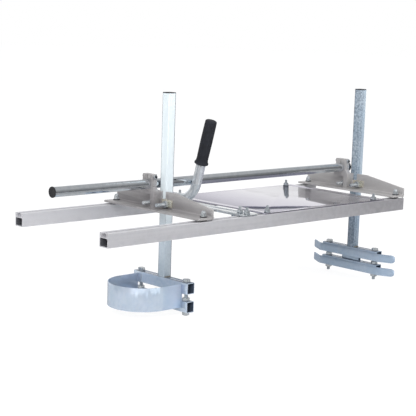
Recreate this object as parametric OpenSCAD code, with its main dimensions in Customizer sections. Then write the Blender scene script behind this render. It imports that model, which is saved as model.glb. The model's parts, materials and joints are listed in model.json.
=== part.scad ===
// Chainsaw mill: two slotted rails on two brackets, each bracket holding a square post
// that carries a clamp for the guide bar. A thrust tube runs through both brackets.
// X runs along the rails, from the nose end to the saw end. Y runs across them, towards
// the thrust tube. Z is up. The origin is the middle of the footprint, on the ground.

/* [Rails] */
// Length of each rail
rail_l = 1080; // [900:5:1400]
// Width of a rail across its top
rail_w = 31; // [26:1:44]
// Height of a rail
rail_h = 34; // [24:1:48]
// Clear distance between the two rails
rail_gap = 303.4; // [250:1:400]
// Wall thickness of the extrusion
rail_wall = 2.6; // [1.8:0.1:4]
// Radius on the long outer edges of the extrusion
rail_edge_r = 1.2; // [0.5:0.1:2.5]
// Width of the slot in the top of a rail
slot_w = 8.6; // [8.4:0.1:12]
// Thickness of the two lips beside the slot
slot_lip = 2.6; // [2:0.1:4]
// Inner width of the channel under the lips
channel_w = 17.4; // [15:0.2:22]
// Inner height of the channel under the lips
channel_h = 7.6; // [6.8:0.1:10]

/* [Deck plate] */
// Distance from the nose end of the rails to the plate
plate_x = 508; // [440:1:560]
// Thickness of the plate
plate_t = 3; // [1.5:0.1:6]
// Set-back of the plate from the outer faces of the rails
plate_set_back = 2; // [0:0.5:6]
// Distance between the plate's bolts along the rails
plate_bolt_pitch = 430; // [200:5:600]
// Distance from the plate's nose edge to its first bolts
plate_nose_margin = 22; // [12:1:60]
// Distance from the plate's last bolts to its saw edge
plate_saw_margin = 36; // [12:1:60]
// Corner radius of the plate
plate_corner_r = 6; // [2:1:14]

/* [Brackets] */
// Distance from the nose end of the rails to the outer face of the nose bracket
nose_bracket_at = 326; // [120:1:400]
// Width of a bracket's flange along the rails
flange_w = 50; // [44:1:70]
// Thickness of the flange
flange_t = 5; // [3:0.5:8]
// Thickness of the upright web
web_t = 6; // [4:0.5:10]
// Height of the web at its two ends, from under the flange
web_end_h = 24; // [16:1:32]
// Height of the web at its middle, from under the flange
web_mid_h = 47; // [40:1:60]
// Length of the level top at the middle of the web
web_flat_l = 92; // [80:1:120]
// Distance from the outer face of the web to the flange bolts
flange_bolt_in = 20; // [18:1:26]
// Thickness of the spacers between flange and rail
spacer_t = 4; // [2:0.5:8]
// Width of the rib beside the post
rib_w = 14; // [8:1:18]
// Reach of the rib from the web
rib_reach = 24; // [22:1:34]
// Distance from the post's middle to the near face of the rib
rib_off = 1; // [0:0.5:4]
// Width of the window in the top of the web
window_w = 17; // [8:1:20]
// Depth of the window in the top of the web
window_h = 19; // [8:1:22]

/* [Thrust tube and collars] */
// Outer diameter of the thrust tube
thrust_d = 25.4; // [20:0.2:32]
// Wall thickness of the thrust tube
thrust_wall = 2; // [1.2:0.1:4]
// Gap between a post and the lip of the tube's end cap
tube_gap = 1; // [1:0.5:30]
// Gap between the level top of the web and the tube
tube_rise = 3.6; // [1:0.1:20]
// Wall of the collar round the tube
collar_wall = 6.3; // [4:0.1:10]
// Length of the collar along the tube
collar_l = 16; // [12:1:24]
// Distance from the middle of the pinch bolt to the top of the collar's ears
ear_margin = 6.5; // [5:0.5:12]
// Width of the pinch slit
slit_w = 2.5; // [1.5:0.1:4]
// Distance from the top of the tube to the underside of the pinch bolt
pinch_gap = 3.8; // [2:0.1:8]
// Reach of the end caps' lip outside the tube
cap_lip = 0.8; // [0:0.1:4]
// Thickness of the end caps outside the tube
cap_lip_t = 3; // [1:0.5:6]

/* [Posts] */
// Outside width of the square posts and of the clamp tubes
post_w = 24.5; // [18:0.5:28]
// Wall thickness of the posts and the clamp tubes
post_wall = 1.8; // [1.2:0.1:3]
// Corner radius of the posts and the clamp tubes
post_r = 2; // [1.2:0.1:4]
// Length of a post
post_l = 469.5; // [380:0.5:600]
// Distance of the posts behind the middle of the rails
post_y = 6; // [-4:0.5:8]
// Distance from the underside of the rails down to the seat of the guide bar
cut_depth = 166; // [100:1:220]
// Thickness of the cap on a post
post_cap_t = 2.5; // [1:0.5:5]

/* [Post clamps] */
// Diameter of the post clamp bolts
clamp_bolt_d = 10; // [8:1:12]
// Distance between the two post clamp bolts
clamp_bolt_gap = 50; // [46:1:60]
// Height of the post clamp bolts above the underside of the flange
clamp_bolt_z = 16; // [15:0.5:24]
// Reach of the clamp bolts in front of the web
clamp_reach = 39; // [24:1:50]
// Thickness of the clamp's back plate
clamp_t = 6; // [4:0.5:10]
// Height of the clamp's back plate
clamp_h = 20; // [16:1:26]
// Thickness of the cheeks beside the post
cheek_t = 4; // [3:0.5:6]
// Length of the cheeks along the post's side
cheek_l = 14; // [6:1:18]
// Width of the slot cover under the front nut
cover_w = 38; // [30:1:44]
// Drop of the slot cover below its bolt
cover_drop = 7; // [5.5:0.5:7]
// Rise of the slot cover above its bolt
cover_rise = 12; // [6:0.5:16]
// Thickness of the slot cover
cover_t = 3; // [2:0.5:5]

/* [Bar clamps] */
// Length of the clamp tubes across the mill
jaw_l = 209; // [160:1:280]
// Height of the clamp tubes
jaw_h = 28.5; // [22:0.5:36]
// Distance of the middle of the clamp tubes behind the middle of the posts
jaw_back = 3; // [-10:0.5:12]
// Gap between the two tubes of the nose clamp
nose_gap = 19.5; // [11.5:0.5:32]
// Gap between the two tubes of the saw clamp
saw_gap = 11.5; // [11.5:0.5:32]
// Diameter of the bar clamp bolts
jaw_bolt_d = 10; // [8:1:12]
// Distance between the two bolts of a bar clamp
jaw_bolt_gap = 176; // [130:1:180]
// Length of a bar clamp bolt below the nut of the wider clamp
jaw_bolt_tail = 1.5; // [0.5:0.5:20]
// Diameter of the washers under the bar clamp bolts
jaw_washer_d = 20; // [18:0.5:22]
// Width and height of the pad in the gap
pad_w = 10.5; // [6:0.5:11]
// Length of the pad
pad_l = 64; // [40:1:110]
// Wall thickness of the pad
pad_wall = 1.5; // [1:0.1:2.5]

/* [Nose guard] */
// Height of the guard's band
guard_h = 60; // [50:1:80]
// Thickness of the guard's band
guard_t = 2; // [1.5:0.1:3]
// Outer radius of the guard's round end
guard_r = 86; // [60:1:110]
// Length of the guard's straight sides
guard_side = 60; // [10:1:80]
// Distance of the guard behind the middle of the posts
guard_back = 5; // [-6:1:24]
// Length of the guard's end tabs
tab_l = 16; // [10:1:24]
// Drop from the top of the upper tube to the top edge of the guard
guard_drop = 5; // [2:1:12]

/* [Skids] */
// Height of the skid bars
skid_h = 23.5; // [16:0.5:28]
// Thickness of the skid bars
skid_t = 3; // [2:0.5:5]
// Length of the skid's bent tongue at its front end
skid_tongue_l = 52; // [30:1:80]
// Length of the skid's bent tip at its rear end
skid_tip_l = 60; // [20:1:70]
// Angle of the front tongue
skid_tongue_angle = 22; // [5:1:35]
// Angle of the rear tip
skid_tip_angle = 32; // [10:1:40]
// Inner radius of the skid's bends
skid_bend_r = 14; // [6:1:30]

/* [Handle] */
// Distance from the nose end of the rails to the handle's base bar
handle_at = 456; // [420:1:470]
// Shift of the handle tube from the middle of its base bar, towards the saw end
tube_shift = -14.5; // [-15:0.5:15]
// Width of the handle's base bar
base_w = 52; // [40:1:70]
// Thickness of the handle's base bar
base_t = 4; // [3:0.5:8]
// Diameter of the handle tube
handle_d = 25.4; // [18:0.2:28]
// Wall thickness of the handle tube
handle_wall = 1.8; // [1.2:0.1:3]
// Radius of the handle's bend at the middle of the tube
bend_r = 64; // [50:1:80]
// Lean of the upright part towards the front
handle_lean = 16; // [0:1:30]
// Length of the upright part above the bend
upright_l = 173; // [140:1:240]
// Gap between the handle's bend and the thrust tube
handle_clear = 1.5; // [1:0.1:6]
// Distance from the outer face of the rear rail to the end of the tube
tube_back = 55.5; // [40:0.5:80]
// Length of the grip
grip_l = 119; // [90:1:150]
// Diameter of the grip
grip_d = 31.5; // [30:0.5:38]
// Diameter of the grip's flange
grip_flange_d = 37; // [34:0.5:48]
// Thickness of the grip's flange
grip_flange_t = 5; // [3:0.5:8]
// Distance from the rail to the handle's second front bolt
second_bolt_off = 9; // [8:0.5:20]

/* [Fasteners] */
// Diameter of the slot bolts
slot_bolt_d = 8; // [6:0.5:8]
// Width across the flats of an 8 mm nut
nut_flats = 13; // [11:0.5:15]
// Height of an 8 mm nut
nut_h = 6.5; // [5:0.1:8]
// Height of a domed nut
dome_nut_h = 15; // [12:0.5:18]
// Diameter of the plain washers
washer_d = 17; // [15:0.5:20]
// Thickness of the washers
washer_t = 1.6; // [1:0.1:2.5]
// Length of the slot bolts that stands out above a plain nut
stud_tail = 9; // [4:0.5:14]
// Width across the flats of a 10 mm nut
clamp_nut_flats = 17; // [15:0.5:19]
// Height of a 10 mm nut
clamp_nut_h = 8.4; // [6:0.2:10]
// Diameter of the pinch bolt
pinch_d = 6; // [5:0.5:8]
// Width across the flats of the pinch bolt's nut and head
pinch_flats = 10; // [9:0.5:13]

/* [Hidden] */
$fn = 48;
// Gap between two pieces that slide or turn on each other
slide_gap = 0.3;
// Radial gap between a bolt and its hole in a clamped piece
hole_gap = 0.3;
// Radial gap between a thread and its nut
thread_gap = 0.06;
// Radial gap between the thrust tube and its collars
collar_gap = 0.08;
// Radial gap between the handle tube and its grip or plug
push_gap = 0.1;
// Flat steps in each bend of a skid
skid_bend_steps = 8;
// Wall that the handle tube loses on each side where it is bent
bend_thinning = 0.03;
// Corner radius at the rear end of a skid
skid_corner_r = 6;
// Reach of a skid's side outline past its two end faces
skid_past = 0.4;
// Length of the plugs in the thrust tube
thrust_plug_l = 14;
// Length of the plugs in the posts and in the handle tube
plug_l = 8;
// Thickness of the grip's closed end
grip_end_t = 4;
// Heights of the heads of an 8 mm bolt and of a 10 mm bolt
head_t = 5.3;
clamp_head_t = 6.4;
// Overrun of a cutting shape past the face that it cuts
over = 1;

// Places measured from the nose end, the middle of the rails and the top of the rails
rails_w = rail_gap + 2 * rail_w;
rail_mid = (rail_gap + rail_w) / 2;
flange_z = spacer_t;
flange_top = flange_z + flange_t;
seat_z = -rail_h - cut_depth;
jaw_top = seat_z + jaw_h;
nose_low_z = seat_z - nose_gap - jaw_h;
saw_low_z = seat_z - saw_gap - jaw_h;
foot_z = min(nose_low_z, saw_low_z) - clamp_nut_h - jaw_bolt_tail;
jaw_bolt_l = jaw_top + washer_t - foot_z;
jaw_y = post_y + jaw_back;
post_x = slide_gap;
clamp_x = post_x + post_w + slide_gap;
model_l = rail_l + clamp_x + clamp_t + clamp_head_t;
front_y = -rails_w / 2;
plate_l = plate_nose_margin + plate_bolt_pitch + plate_saw_margin;
cap_lip_d = thrust_d + 2 * cap_lip;
thrust_y = post_y + post_w / 2 + tube_gap + cap_lip_d / 2;
thrust_z = web_mid_h + tube_rise + thrust_d / 2;
ear_h = thrust_d / 2 + pinch_gap + pinch_d / 2 + ear_margin;
pinch_z = thrust_z + ear_h - ear_margin;
collar_r = thrust_d / 2 + collar_wall;
collar_x = -web_t - rib_reach;
slot_head_w = channel_w - 2.4;
slot_head_t = channel_h - 2.2;
slot_head_top = -slot_lip - slide_gap;
window_y = post_y - post_w / 2 - 5 + window_w / 2;
guard_z = jaw_top - guard_drop - guard_h;
guard_y = post_y + guard_back;
base_z = slide_gap;
bend_z = base_t + handle_d / 2;
// The thrust tube passes inside the handle's bend, this far from the bend's centre
bend_in = bend_r - handle_d / 2 - handle_clear - thrust_d / 2;
bend_above = base_z + bend_z + bend_r - flange_z - thrust_z;
bend_y = thrust_y + sqrt(pow(bend_in, 2) - pow(bend_above, 2));
bend_angle = 90 - handle_lean;
upright_y = bend_y - bend_r * sin(bend_angle);
upright_z = bend_z + bend_r * (1 - cos(bend_angle));

// Rectangle with round corners, centred
module round_rect(w, h, r) {
    square([w - 2 * r, h], center = true);
    square([w, h - 2 * r], center = true);
    for (x = [-1, 1], y = [-1, 1])
        translate([x * (w / 2 - r), y * (h / 2 - r)])
            circle(r = r);
}

// Tube along Z with a section of w by h, standing on z = 0
module box_tube(w, h, wall, r, l) {
    linear_extrude(l)
        difference() {
            round_rect(w, h, r);
            round_rect(w - 2 * wall, h - 2 * wall, max(r - wall, 0.3));
        }
}

// Hexagon across the flats, standing on z = 0
module hexagon(flats, h) {
    cylinder(d = flats / cos(30), h = h, $fn = 6);
}

module hex_nut(d, flats, h) {
    difference() {
        hexagon(flats, h);
        translate([0, 0, -over])
            cylinder(r = d / 2 + thread_gap, h = h + 2 * over);
    }
}

// Nut with a closed round top
module dome_nut(d, flats, h) {
    hex_part = h * 0.5;
    ball = flats / 2 - 0.4;
    difference() {
        union() {
            hexagon(flats, hex_part);
            cylinder(r = ball, h = h - ball);
            translate([0, 0, h - ball])
                sphere(r = ball);
        }
        translate([0, 0, -over])
            cylinder(r = d / 2 + thread_gap, h = h - 3 + over);
    }
}

module washer(d, outer, t) {
    difference() {
        cylinder(d = outer, h = t);
        translate([0, 0, -over])
            cylinder(r = d / 2 + hole_gap, h = t + 2 * over);
    }
}

// Bolt along Z whose head lies under z = 0
module hex_bolt(d, flats, head, l) {
    translate([0, 0, -head])
        hexagon(flats, head);
    cylinder(d = d, h = l);
}

// Bolt with a square head in a rail's channel, its stud rising to z = top
module slot_bolt(top) {
    translate([-slot_head_w / 2, -slot_head_w / 2, slot_head_top - slot_head_t])
        cube([slot_head_w, slot_head_w, slot_head_t]);
    translate([0, 0, slot_head_top - over])
        cylinder(d = slot_bolt_d, h = top - slot_head_top + over);
}

// Moves from the working datum to the model's origin
module place() {
    translate([-model_l / 2, 0, -foot_z])
        children();
}

// One copy over the middle of each rail
module on_both_rails() {
    for (side = [-1, 1])
        translate([0, side * rail_mid, 0])
            children();
}

module rail_section() {
    difference() {
        translate([0, -rail_h / 2])
            round_rect(rail_w, rail_h, rail_edge_r);
        translate([-slot_w / 2, -slot_lip - over])
            square([slot_w, slot_lip + 2 * over]);
        translate([-channel_w / 2, -slot_lip - channel_h])
            square([channel_w, channel_h]);
        rail_hollow();
    }
}

// Hollow below the channel
module rail_hollow() {
    hollow_w = rail_w - 2 * rail_wall;
    hollow_h = rail_h - slot_lip - channel_h - 2 * rail_wall;
    translate([0, -rail_h + rail_wall + hollow_h / 2])
        round_rect(hollow_w, hollow_h, 1.5);
}

module rail(side) {
    color("gainsboro")
        place()
            translate([0, side * rail_mid, 0])
                rotate([90, 0, 90])
                    linear_extrude(rail_l)
                        rail_section();
}

// Places of the deck plate's bolts along the rails
function deck_bolt_x() = [plate_x + plate_nose_margin,
                          plate_x + plate_nose_margin + plate_bolt_pitch];

module deck_plate() {
    w = rails_w - 2 * plate_set_back;
    color("lavender")
        place()
            difference() {
                translate([plate_x + plate_l / 2, 0, 0])
                    linear_extrude(plate_t)
                        round_rect(plate_l, w, plate_corner_r);
                for (x = deck_bolt_x())
                    translate([x, 0, 0])
                        on_both_rails()
                            translate([0, 0, -over])
                                cylinder(r = slot_bolt_d / 2 + hole_gap, h = plate_t + 2 * over);
            }
}

module deck_slot_bolts() {
    color("silver")
        place()
            for (x = deck_bolt_x())
                translate([x, 0, 0])
                    on_both_rails()
                        slot_bolt(plate_t + washer_t + nut_h + stud_tail);
}

module deck_washers() {
    color("silver")
        place()
            for (x = deck_bolt_x())
                translate([x, 0, plate_t])
                    on_both_rails()
                        washer(slot_bolt_d, washer_d, washer_t);
}

module deck_nuts() {
    color("silver")
        place()
            for (x = deck_bolt_x())
                translate([x, 0, plate_t + washer_t])
                    on_both_rails()
                        hex_nut(slot_bolt_d, nut_flats, nut_h);
}

// Distance of the handle's second front bolt from the middle of the rails
second_bolt_y = -rail_gap / 2 + second_bolt_off;
stop_t = 6;

module handle_base() {
    color("silver")
        place()
            translate([handle_at, 0, base_z])
                difference() {
                    linear_extrude(base_t)
                        round_rect(base_w, rails_w, 8);
                    for (y = [-rail_mid, second_bolt_y, rail_mid])
                        translate([0, y, -over])
                            cylinder(r = slot_bolt_d / 2 + hole_gap, h = base_t + 2 * over);
                }
}

// Ring across the handle tube, thinner on both sides by thin
module handle_ring(thin) {
    difference() {
        circle(d = handle_d - 2 * thin);
        circle(d = handle_d - 2 * handle_wall + 2 * thin);
    }
}

// Level run, bend and leaning upright, each a piece of tube that starts where the last one ends
module handle_tube() {
    color("lightsteelblue")
        place()
            translate([handle_at + tube_shift, 0, base_z]) {
                translate([0, bend_y, bend_z])
                    rotate([-90, 0, 0])
                        linear_extrude(-front_y - tube_back - bend_y)
                            handle_ring(0);
                translate([0, bend_y, bend_z + bend_r])
                    rotate([0, -90, 0])
                        rotate([0, 0, 180])
                            rotate_extrude(angle = bend_angle)
                                translate([bend_r, 0])
                                    handle_ring(bend_thinning);
                translate([0, upright_y, upright_z])
                    rotate([handle_lean, 0, 0])
                        linear_extrude(upright_l - grip_end_t)
                            handle_ring(0);
            }
}

module handle_end_plug() {
    color("dimgray")
        place()
            translate([handle_at + tube_shift, -front_y - tube_back, base_z + bend_z])
                rotate([-90, 0, 0]) {
                    cylinder(d = handle_d, h = 2.5);
                    translate([0, 0, -plug_l])
                        cylinder(r = handle_d / 2 - handle_wall - push_gap, h = plug_l + over);
                }
}

// Outline of the grip: flange at the bottom, ribs along the middle and a closed round end
module grip_outline() {
    r = grip_d / 2;
    rib = 0.8;
    pitch = 6;
    first = 16;
    plain_end = 18;
    count = floor((grip_l - first - plain_end) / pitch);
    difference() {
        union() {
            square([grip_flange_d / 2, grip_flange_t]);
            square([r, grip_l - grip_end_t]);
            square([r - grip_end_t, grip_l]);
            translate([r - grip_end_t, grip_l - grip_end_t])
                circle(r = grip_end_t);
        }
        for (i = [0 : count - 1])
            translate([r, first + i * pitch])
                circle(r = rib);
        translate([-over, -over])
            square([handle_d / 2 + push_gap + over, grip_l - grip_end_t + over]);
    }
}

module handle_grip() {
    color("black")
        place()
            translate([handle_at + tube_shift, upright_y, base_z + upright_z])
                rotate([handle_lean, 0, 0])
                    translate([0, 0, upright_l - grip_l])
                        rotate_extrude()
                            intersection() {
                                grip_outline();
                                square([grip_flange_d, grip_l + over]);
                            }
}

module handle_slot_bolts() {
    top = base_z + base_t + washer_t + nut_h + stud_tail;
    color("silver")
        place()
            translate([handle_at, 0, 0]) {
                on_both_rails()
                    slot_bolt(top);
                translate([0, second_bolt_y, base_z - stop_t])
                    hex_bolt(slot_bolt_d, nut_flats, head_t, top - base_z + stop_t);
            }
}

module handle_nuts() {
    color("silver")
        place()
            for (y = [-rail_mid, second_bolt_y, rail_mid])
                translate([handle_at, y, base_z + base_t]) {
                    washer(slot_bolt_d, washer_d - 1, washer_t);
                    translate([0, 0, washer_t])
                        hex_nut(slot_bolt_d, nut_flats, nut_h);
                }
}

// Block under the base bar that keeps it square to the front rail
module handle_stop() {
    w = 2 * (second_bolt_off - slide_gap);
    color("silver")
        place()
            translate([handle_at, second_bolt_y, base_z - stop_t])
                difference() {
                    translate([-base_w / 2 + 4, -w / 2, 0])
                        cube([base_w - 8, w, stop_t]);
                    translate([0, 0, -over])
                        cylinder(r = slot_bolt_d / 2 + hole_gap, h = stop_t + 2 * over);
                }
}

// Side of the web, in Y and Z
module web_outline() {
    polygon([
        [front_y, flange_z], [-front_y, flange_z], [-front_y, flange_z + web_end_h],
        [web_flat_l / 2, flange_z + web_mid_h], [-web_flat_l / 2, flange_z + web_mid_h],
        [front_y, flange_z + web_end_h]
    ]);
}

// Slab from x to x + t, from an outline in Y and Z
module slab(x, t) {
    translate([x, 0, 0])
        rotate([90, 0, 90])
            linear_extrude(t)
                children();
}

// Hollow fillet along Y between the web and the flange, as deep as the slot cover is thick
module web_fillet() {
    r = cover_t;
    translate([-web_t, -front_y - 2, flange_top])
        rotate([90, 0, 0])
            linear_extrude(rails_w - 4)
                difference() {
                    translate([-r, -over])
                        square([r + over, r + over]);
                    translate([-r, r])
                        circle(r = r);
                }
}

module collar_outline() {
    axis_z = flange_z + thrust_z;
    foot_top = flange_z + web_mid_h;
    translate([thrust_y, axis_z]) {
        circle(r = collar_r);
        translate([-collar_r, 0])
            square([2 * collar_r, ear_h]);
    }
    polygon([
        [post_y + rib_off, foot_top - 8], [thrust_y + collar_r + 8, foot_top - 8],
        [thrust_y + collar_r + 6, foot_top], [thrust_y + collar_r - 2, axis_z - 5],
        [thrust_y - collar_r + 2, axis_z - 5], [post_y + rib_off, foot_top]
    ]);
}

// Casting with its outer face at x = 0 and its flange towards the nose end
module bracket() {
    axis_z = flange_z + thrust_z;
    difference() {
        union() {
            translate([-flange_w / 2, 0, flange_z])
                linear_extrude(flange_t)
                    round_rect(flange_w, rails_w, 3);
            slab(-web_t, web_t)
                web_outline();
            web_fillet();
            slab(collar_x, rib_reach + over)
                translate([post_y + rib_off, flange_z + 1])
                    square([rib_w, web_mid_h - 2]);
            slab(collar_x, rib_reach + over)
                intersection() {
                    collar_outline();
                    translate([-rails_w / 2, 0])
                        square([rails_w, flange_z + web_mid_h]);
                }
            slab(collar_x, collar_l)
                collar_outline();
        }
        translate([-flange_bolt_in, 0, 0])
            on_both_rails()
                cylinder(r = slot_bolt_d / 2 + hole_gap, h = flange_top + over);
        for (side = [-1, 1])
            translate([-web_t - over, post_y + side * clamp_bolt_gap / 2, flange_z + clamp_bolt_z])
                rotate([0, 90, 0])
                    cylinder(r = clamp_bolt_d / 2 + hole_gap, h = web_t + 2 * over);
        translate([-web_t - over, window_y - window_w / 2, flange_z + web_mid_h - window_h])
            cube([web_t + 2 * over, window_w, window_h + over]);
        translate([collar_x - over, thrust_y, axis_z])
            rotate([0, 90, 0])
                cylinder(r = thrust_d / 2 + collar_gap, h = collar_l + 2 * over);
        translate([collar_x - over, thrust_y - slit_w / 2, axis_z])
            cube([collar_l + 2 * over, slit_w, ear_h + over]);
        translate([collar_x + collar_l / 2, thrust_y, flange_z + pinch_z])
            rotate([90, 0, 0])
                cylinder(r = pinch_d / 2 + hole_gap, h = 2 * collar_r + 2 * over, center = true);
    }
}

// Four kinds of fastener on a bracket, each group in its own node
module bracket_slot_bolts() {
    translate([-flange_bolt_in, 0, 0])
        on_both_rails()
            slot_bolt(flange_top + washer_t + dome_nut_h - 4.5);
}

module bracket_spacers() {
    translate([-flange_bolt_in, 0, slide_gap])
        on_both_rails()
            washer(slot_bolt_d, washer_d + 1, spacer_t - slide_gap);
}

module bracket_washers() {
    translate([-flange_bolt_in, 0, flange_top])
        on_both_rails()
            washer(slot_bolt_d, washer_d + 1, washer_t);
}

module bracket_dome_nuts() {
    translate([-flange_bolt_in, 0, flange_top + washer_t])
        on_both_rails()
            dome_nut(slot_bolt_d, nut_flats, dome_nut_h);
}

// Length of the pinch bolt outside the front ear
pinch_tail = 8;

module pinch_bolt() {
    translate([collar_x + collar_l / 2, thrust_y + collar_r, flange_z + pinch_z])
        rotate([90, 0, 0])
            hex_bolt(pinch_d, pinch_flats, 4, 2 * collar_r + pinch_tail);
}

module pinch_nut() {
    translate([collar_x + collar_l / 2, thrust_y - collar_r, flange_z + pinch_z])
        rotate([90, 0, 0])
            hex_nut(pinch_d, pinch_flats, 5);
}

// Channel behind the post, pulled against the web by two bolts
module post_clamp() {
    w = clamp_bolt_gap + clamp_nut_flats;
    cheek_in = post_w / 2 + slide_gap;
    difference() {
        translate([0, post_y, flange_z + clamp_bolt_z - clamp_h / 2])
            union() {
                translate([clamp_x, -w / 2, 0])
                    cube([clamp_t, w, clamp_h]);
                for (side = [0, 1])
                    mirror([0, side, 0])
                        translate([clamp_x - cheek_l, cheek_in, 0])
                            cube([cheek_l + over, cheek_t, clamp_h]);
            }
        for (side = [-1, 1])
            translate([clamp_x - over, post_y + side * clamp_bolt_gap / 2, flange_z + clamp_bolt_z])
                rotate([0, 90, 0])
                    cylinder(r = clamp_bolt_d / 2 + hole_gap, h = clamp_t + 2 * over);
    }
}

module on_clamp_bolts(x) {
    for (side = [-1, 1])
        translate([x, post_y + side * clamp_bolt_gap / 2, flange_z + clamp_bolt_z])
            rotate([0, -90, 0])
                children();
}

module clamp_bolts() {
    on_clamp_bolts(clamp_x + clamp_t)
        hex_bolt(clamp_bolt_d, clamp_nut_flats, clamp_head_t, clamp_x + clamp_t + web_t + clamp_reach);
}

// Each nut bears on the slot cover or on a spacer ring of the same thickness
module clamp_nuts() {
    on_clamp_bolts(-web_t - cover_t)
        hex_nut(clamp_bolt_d, clamp_nut_flats, clamp_nut_h);
    translate([-web_t, post_y + clamp_bolt_gap / 2, flange_z + clamp_bolt_z])
        rotate([0, -90, 0])
            washer(clamp_bolt_d, clamp_nut_flats - 1, cover_t);
}

module slot_cover() {
    y = post_y - clamp_bolt_gap / 2;
    difference() {
        translate([-web_t - cover_t, y - cover_w / 2, flange_z + clamp_bolt_z - cover_drop])
            cube([cover_t, cover_w, cover_drop + cover_rise]);
        translate([-web_t - cover_t - over, y, flange_z + clamp_bolt_z])
            rotate([0, 90, 0])
                cylinder(r = clamp_bolt_d / 2 + hole_gap, h = cover_t + 2 * over);
    }
}

module post() {
    translate([post_x + post_w / 2, post_y, jaw_top])
        box_tube(post_w, post_w, post_wall, post_r, post_l);
}

module post_cap() {
    plug_w = post_w - 2 * post_wall - 2 * push_gap;
    translate([post_x + post_w / 2, post_y, jaw_top + post_l]) {
        linear_extrude(post_cap_t)
            round_rect(post_w, post_w, post_r);
        translate([0, 0, -plug_l])
            linear_extrude(plug_l + over)
                round_rect(plug_w, plug_w, 0.5);
    }
}

module on_jaw_bolts(z) {
    for (side = [-1, 1])
        translate([post_x + post_w / 2, jaw_y + side * jaw_bolt_gap / 2, z])
            children();
}

// Tube across the mill with two bolt holes, its underside at z
module jaw(z) {
    difference() {
        translate([post_x + post_w / 2, jaw_y + jaw_l / 2, z + jaw_h / 2])
            rotate([90, 0, 0])
                box_tube(post_w, jaw_h, post_wall, post_r, jaw_l);
        on_jaw_bolts(z - over)
            cylinder(r = jaw_bolt_d / 2 + hole_gap, h = jaw_h + 2 * over);
    }
}

// Bolts of the bar clamp, standing on their washers on the upper tube
module jaw_bolts() {
    on_jaw_bolts(jaw_top) {
        washer(jaw_bolt_d - 2 * hole_gap, jaw_washer_d, washer_t);
        translate([0, 0, washer_t])
            mirror([0, 0, 1])
                hex_bolt(jaw_bolt_d, clamp_nut_flats, clamp_head_t, jaw_bolt_l);
    }
}

// Nuts under and on a lower tube whose underside is at z
module jaw_nuts(z) {
    for (nut_z = [z - clamp_nut_h, z + jaw_h])
        on_jaw_bolts(nut_z)
            difference() {
                hexagon(clamp_nut_flats, clamp_nut_h);
                translate([0, 0, -over])
                    cylinder(r = jaw_bolt_d / 2 + push_gap, h = clamp_nut_h + 2 * over);
            }
}

// Pad on a lower tube whose underside is at z
module jaw_pad(z) {
    translate([post_x + post_w / 2, jaw_y + pad_l / 2, z + jaw_h + pad_w / 2])
        rotate([90, 0, 0])
            box_tube(pad_w, pad_w, pad_wall, 1.2, pad_l);
}

// Plan of the guard: two straight sides, a half-round end and two end tabs
module guard_plan() {
    inner = guard_r - guard_t;
    translate([-guard_side, 0])
        difference() {
            circle(r = guard_r, $fn = 96);
            circle(r = inner, $fn = 96);
            translate([0, -guard_r - over])
                square([guard_r + over, 2 * guard_r + 2 * over]);
        }
    for (side = [-1, 1])
        translate([-guard_side, side * (guard_r - guard_t / 2) - guard_t / 2])
            square([guard_side, guard_t]);
    translate([-guard_t, -guard_r - tab_l])
        square([guard_t, tab_l + guard_t]);
    translate([-guard_t, guard_r - tab_l])
        square([guard_t, tab_l]);
}

// The notches between its end tabs are as high as the clamp's gap
module nose_guard_band() {
    notch_z = seat_z - nose_gap;
    difference() {
        translate([post_x, guard_y, guard_z])
            linear_extrude(guard_h)
                guard_plan();
        for (y = [-guard_r - tab_l - over, guard_r - tab_l - over])
            translate([post_x - guard_t - over, guard_y + y, notch_z])
                cube([guard_t + 2 * over, tab_l - guard_t + over, nose_gap]);
        translate([post_x - slide_gap, guard_y - guard_r - tab_l - over, guard_z - over])
            cube([over, 2 * guard_r + tab_l + 2 * over, notch_z - guard_z + 2 * over]);
    }
}

// Plan of one face of a skid's arm: a bend of radius r that starts at y = at, then a flat end
function skid_arm(r, at, angle, l, side) = let (flat_l = l - skid_bend_r * sin(angle)) concat(
    [for (i = [0 : skid_bend_steps]) let (a = angle * i / skid_bend_steps)
        [skid_bend_r - r * cos(a), side * (at + r * sin(a))]],
    [[skid_bend_r - r * cos(angle) + flat_l * sin(angle),
      side * (at + r * sin(angle) + flat_l * cos(angle))]]
);

function reversed(list) = [for (i = [len(list) - 1 : -1 : 0]) list[i]];

// Skid bar on the nose side of a clamp tube whose underside is at z, its front tongue round
module skid(z) {
    front = jaw_l / 2 + 6;
    rear = jaw_l / 2 + 4;
    inner_r = skid_bend_r;
    outer_r = skid_bend_r + skid_t;
    tongue_outer = skid_arm(outer_r, front, skid_tongue_angle, skid_tongue_l, -1);
    tongue_inner = skid_arm(inner_r, front, skid_tongue_angle, skid_tongue_l, -1);
    tip_outer = skid_arm(outer_r, rear, skid_tip_angle, skid_tip_l, 1);
    tip_inner = skid_arm(inner_r, rear, skid_tip_angle, skid_tip_l, 1);
    nose_y = tongue_outer[len(tongue_outer) - 1][1];
    tip_y = tip_outer[len(tip_outer) - 1][1];
    level_y = nose_y - skid_past + skid_h / 2;
    corner_y = tip_y + skid_past - skid_corner_r;
    translate([post_x, jaw_y, z])
        intersection() {
            translate([0, 0, -over])
                linear_extrude(skid_h + 2 * over)
                    polygon(concat(reversed(tip_outer), tongue_outer, reversed(tongue_inner), tip_inner));
            slab(-skid_t - over, skid_tip_l + skid_tongue_l) {
                translate([level_y, skid_h / 2])
                    circle(d = skid_h);
                translate([level_y, 0])
                    square([corner_y - level_y, skid_h]);
                translate([level_y, skid_corner_r])
                    square([corner_y + skid_corner_r - level_y, skid_h - 2 * skid_corner_r]);
                for (corner_z = [skid_corner_r, skid_h - skid_corner_r])
                    translate([corner_y, corner_z])
                        circle(r = skid_corner_r);
            }
        }
}

// Puts a piece at the nose bracket or at the saw bracket
module at_nose() {
    place()
        translate([nose_bracket_at, 0, 0])
            children();
}

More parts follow.
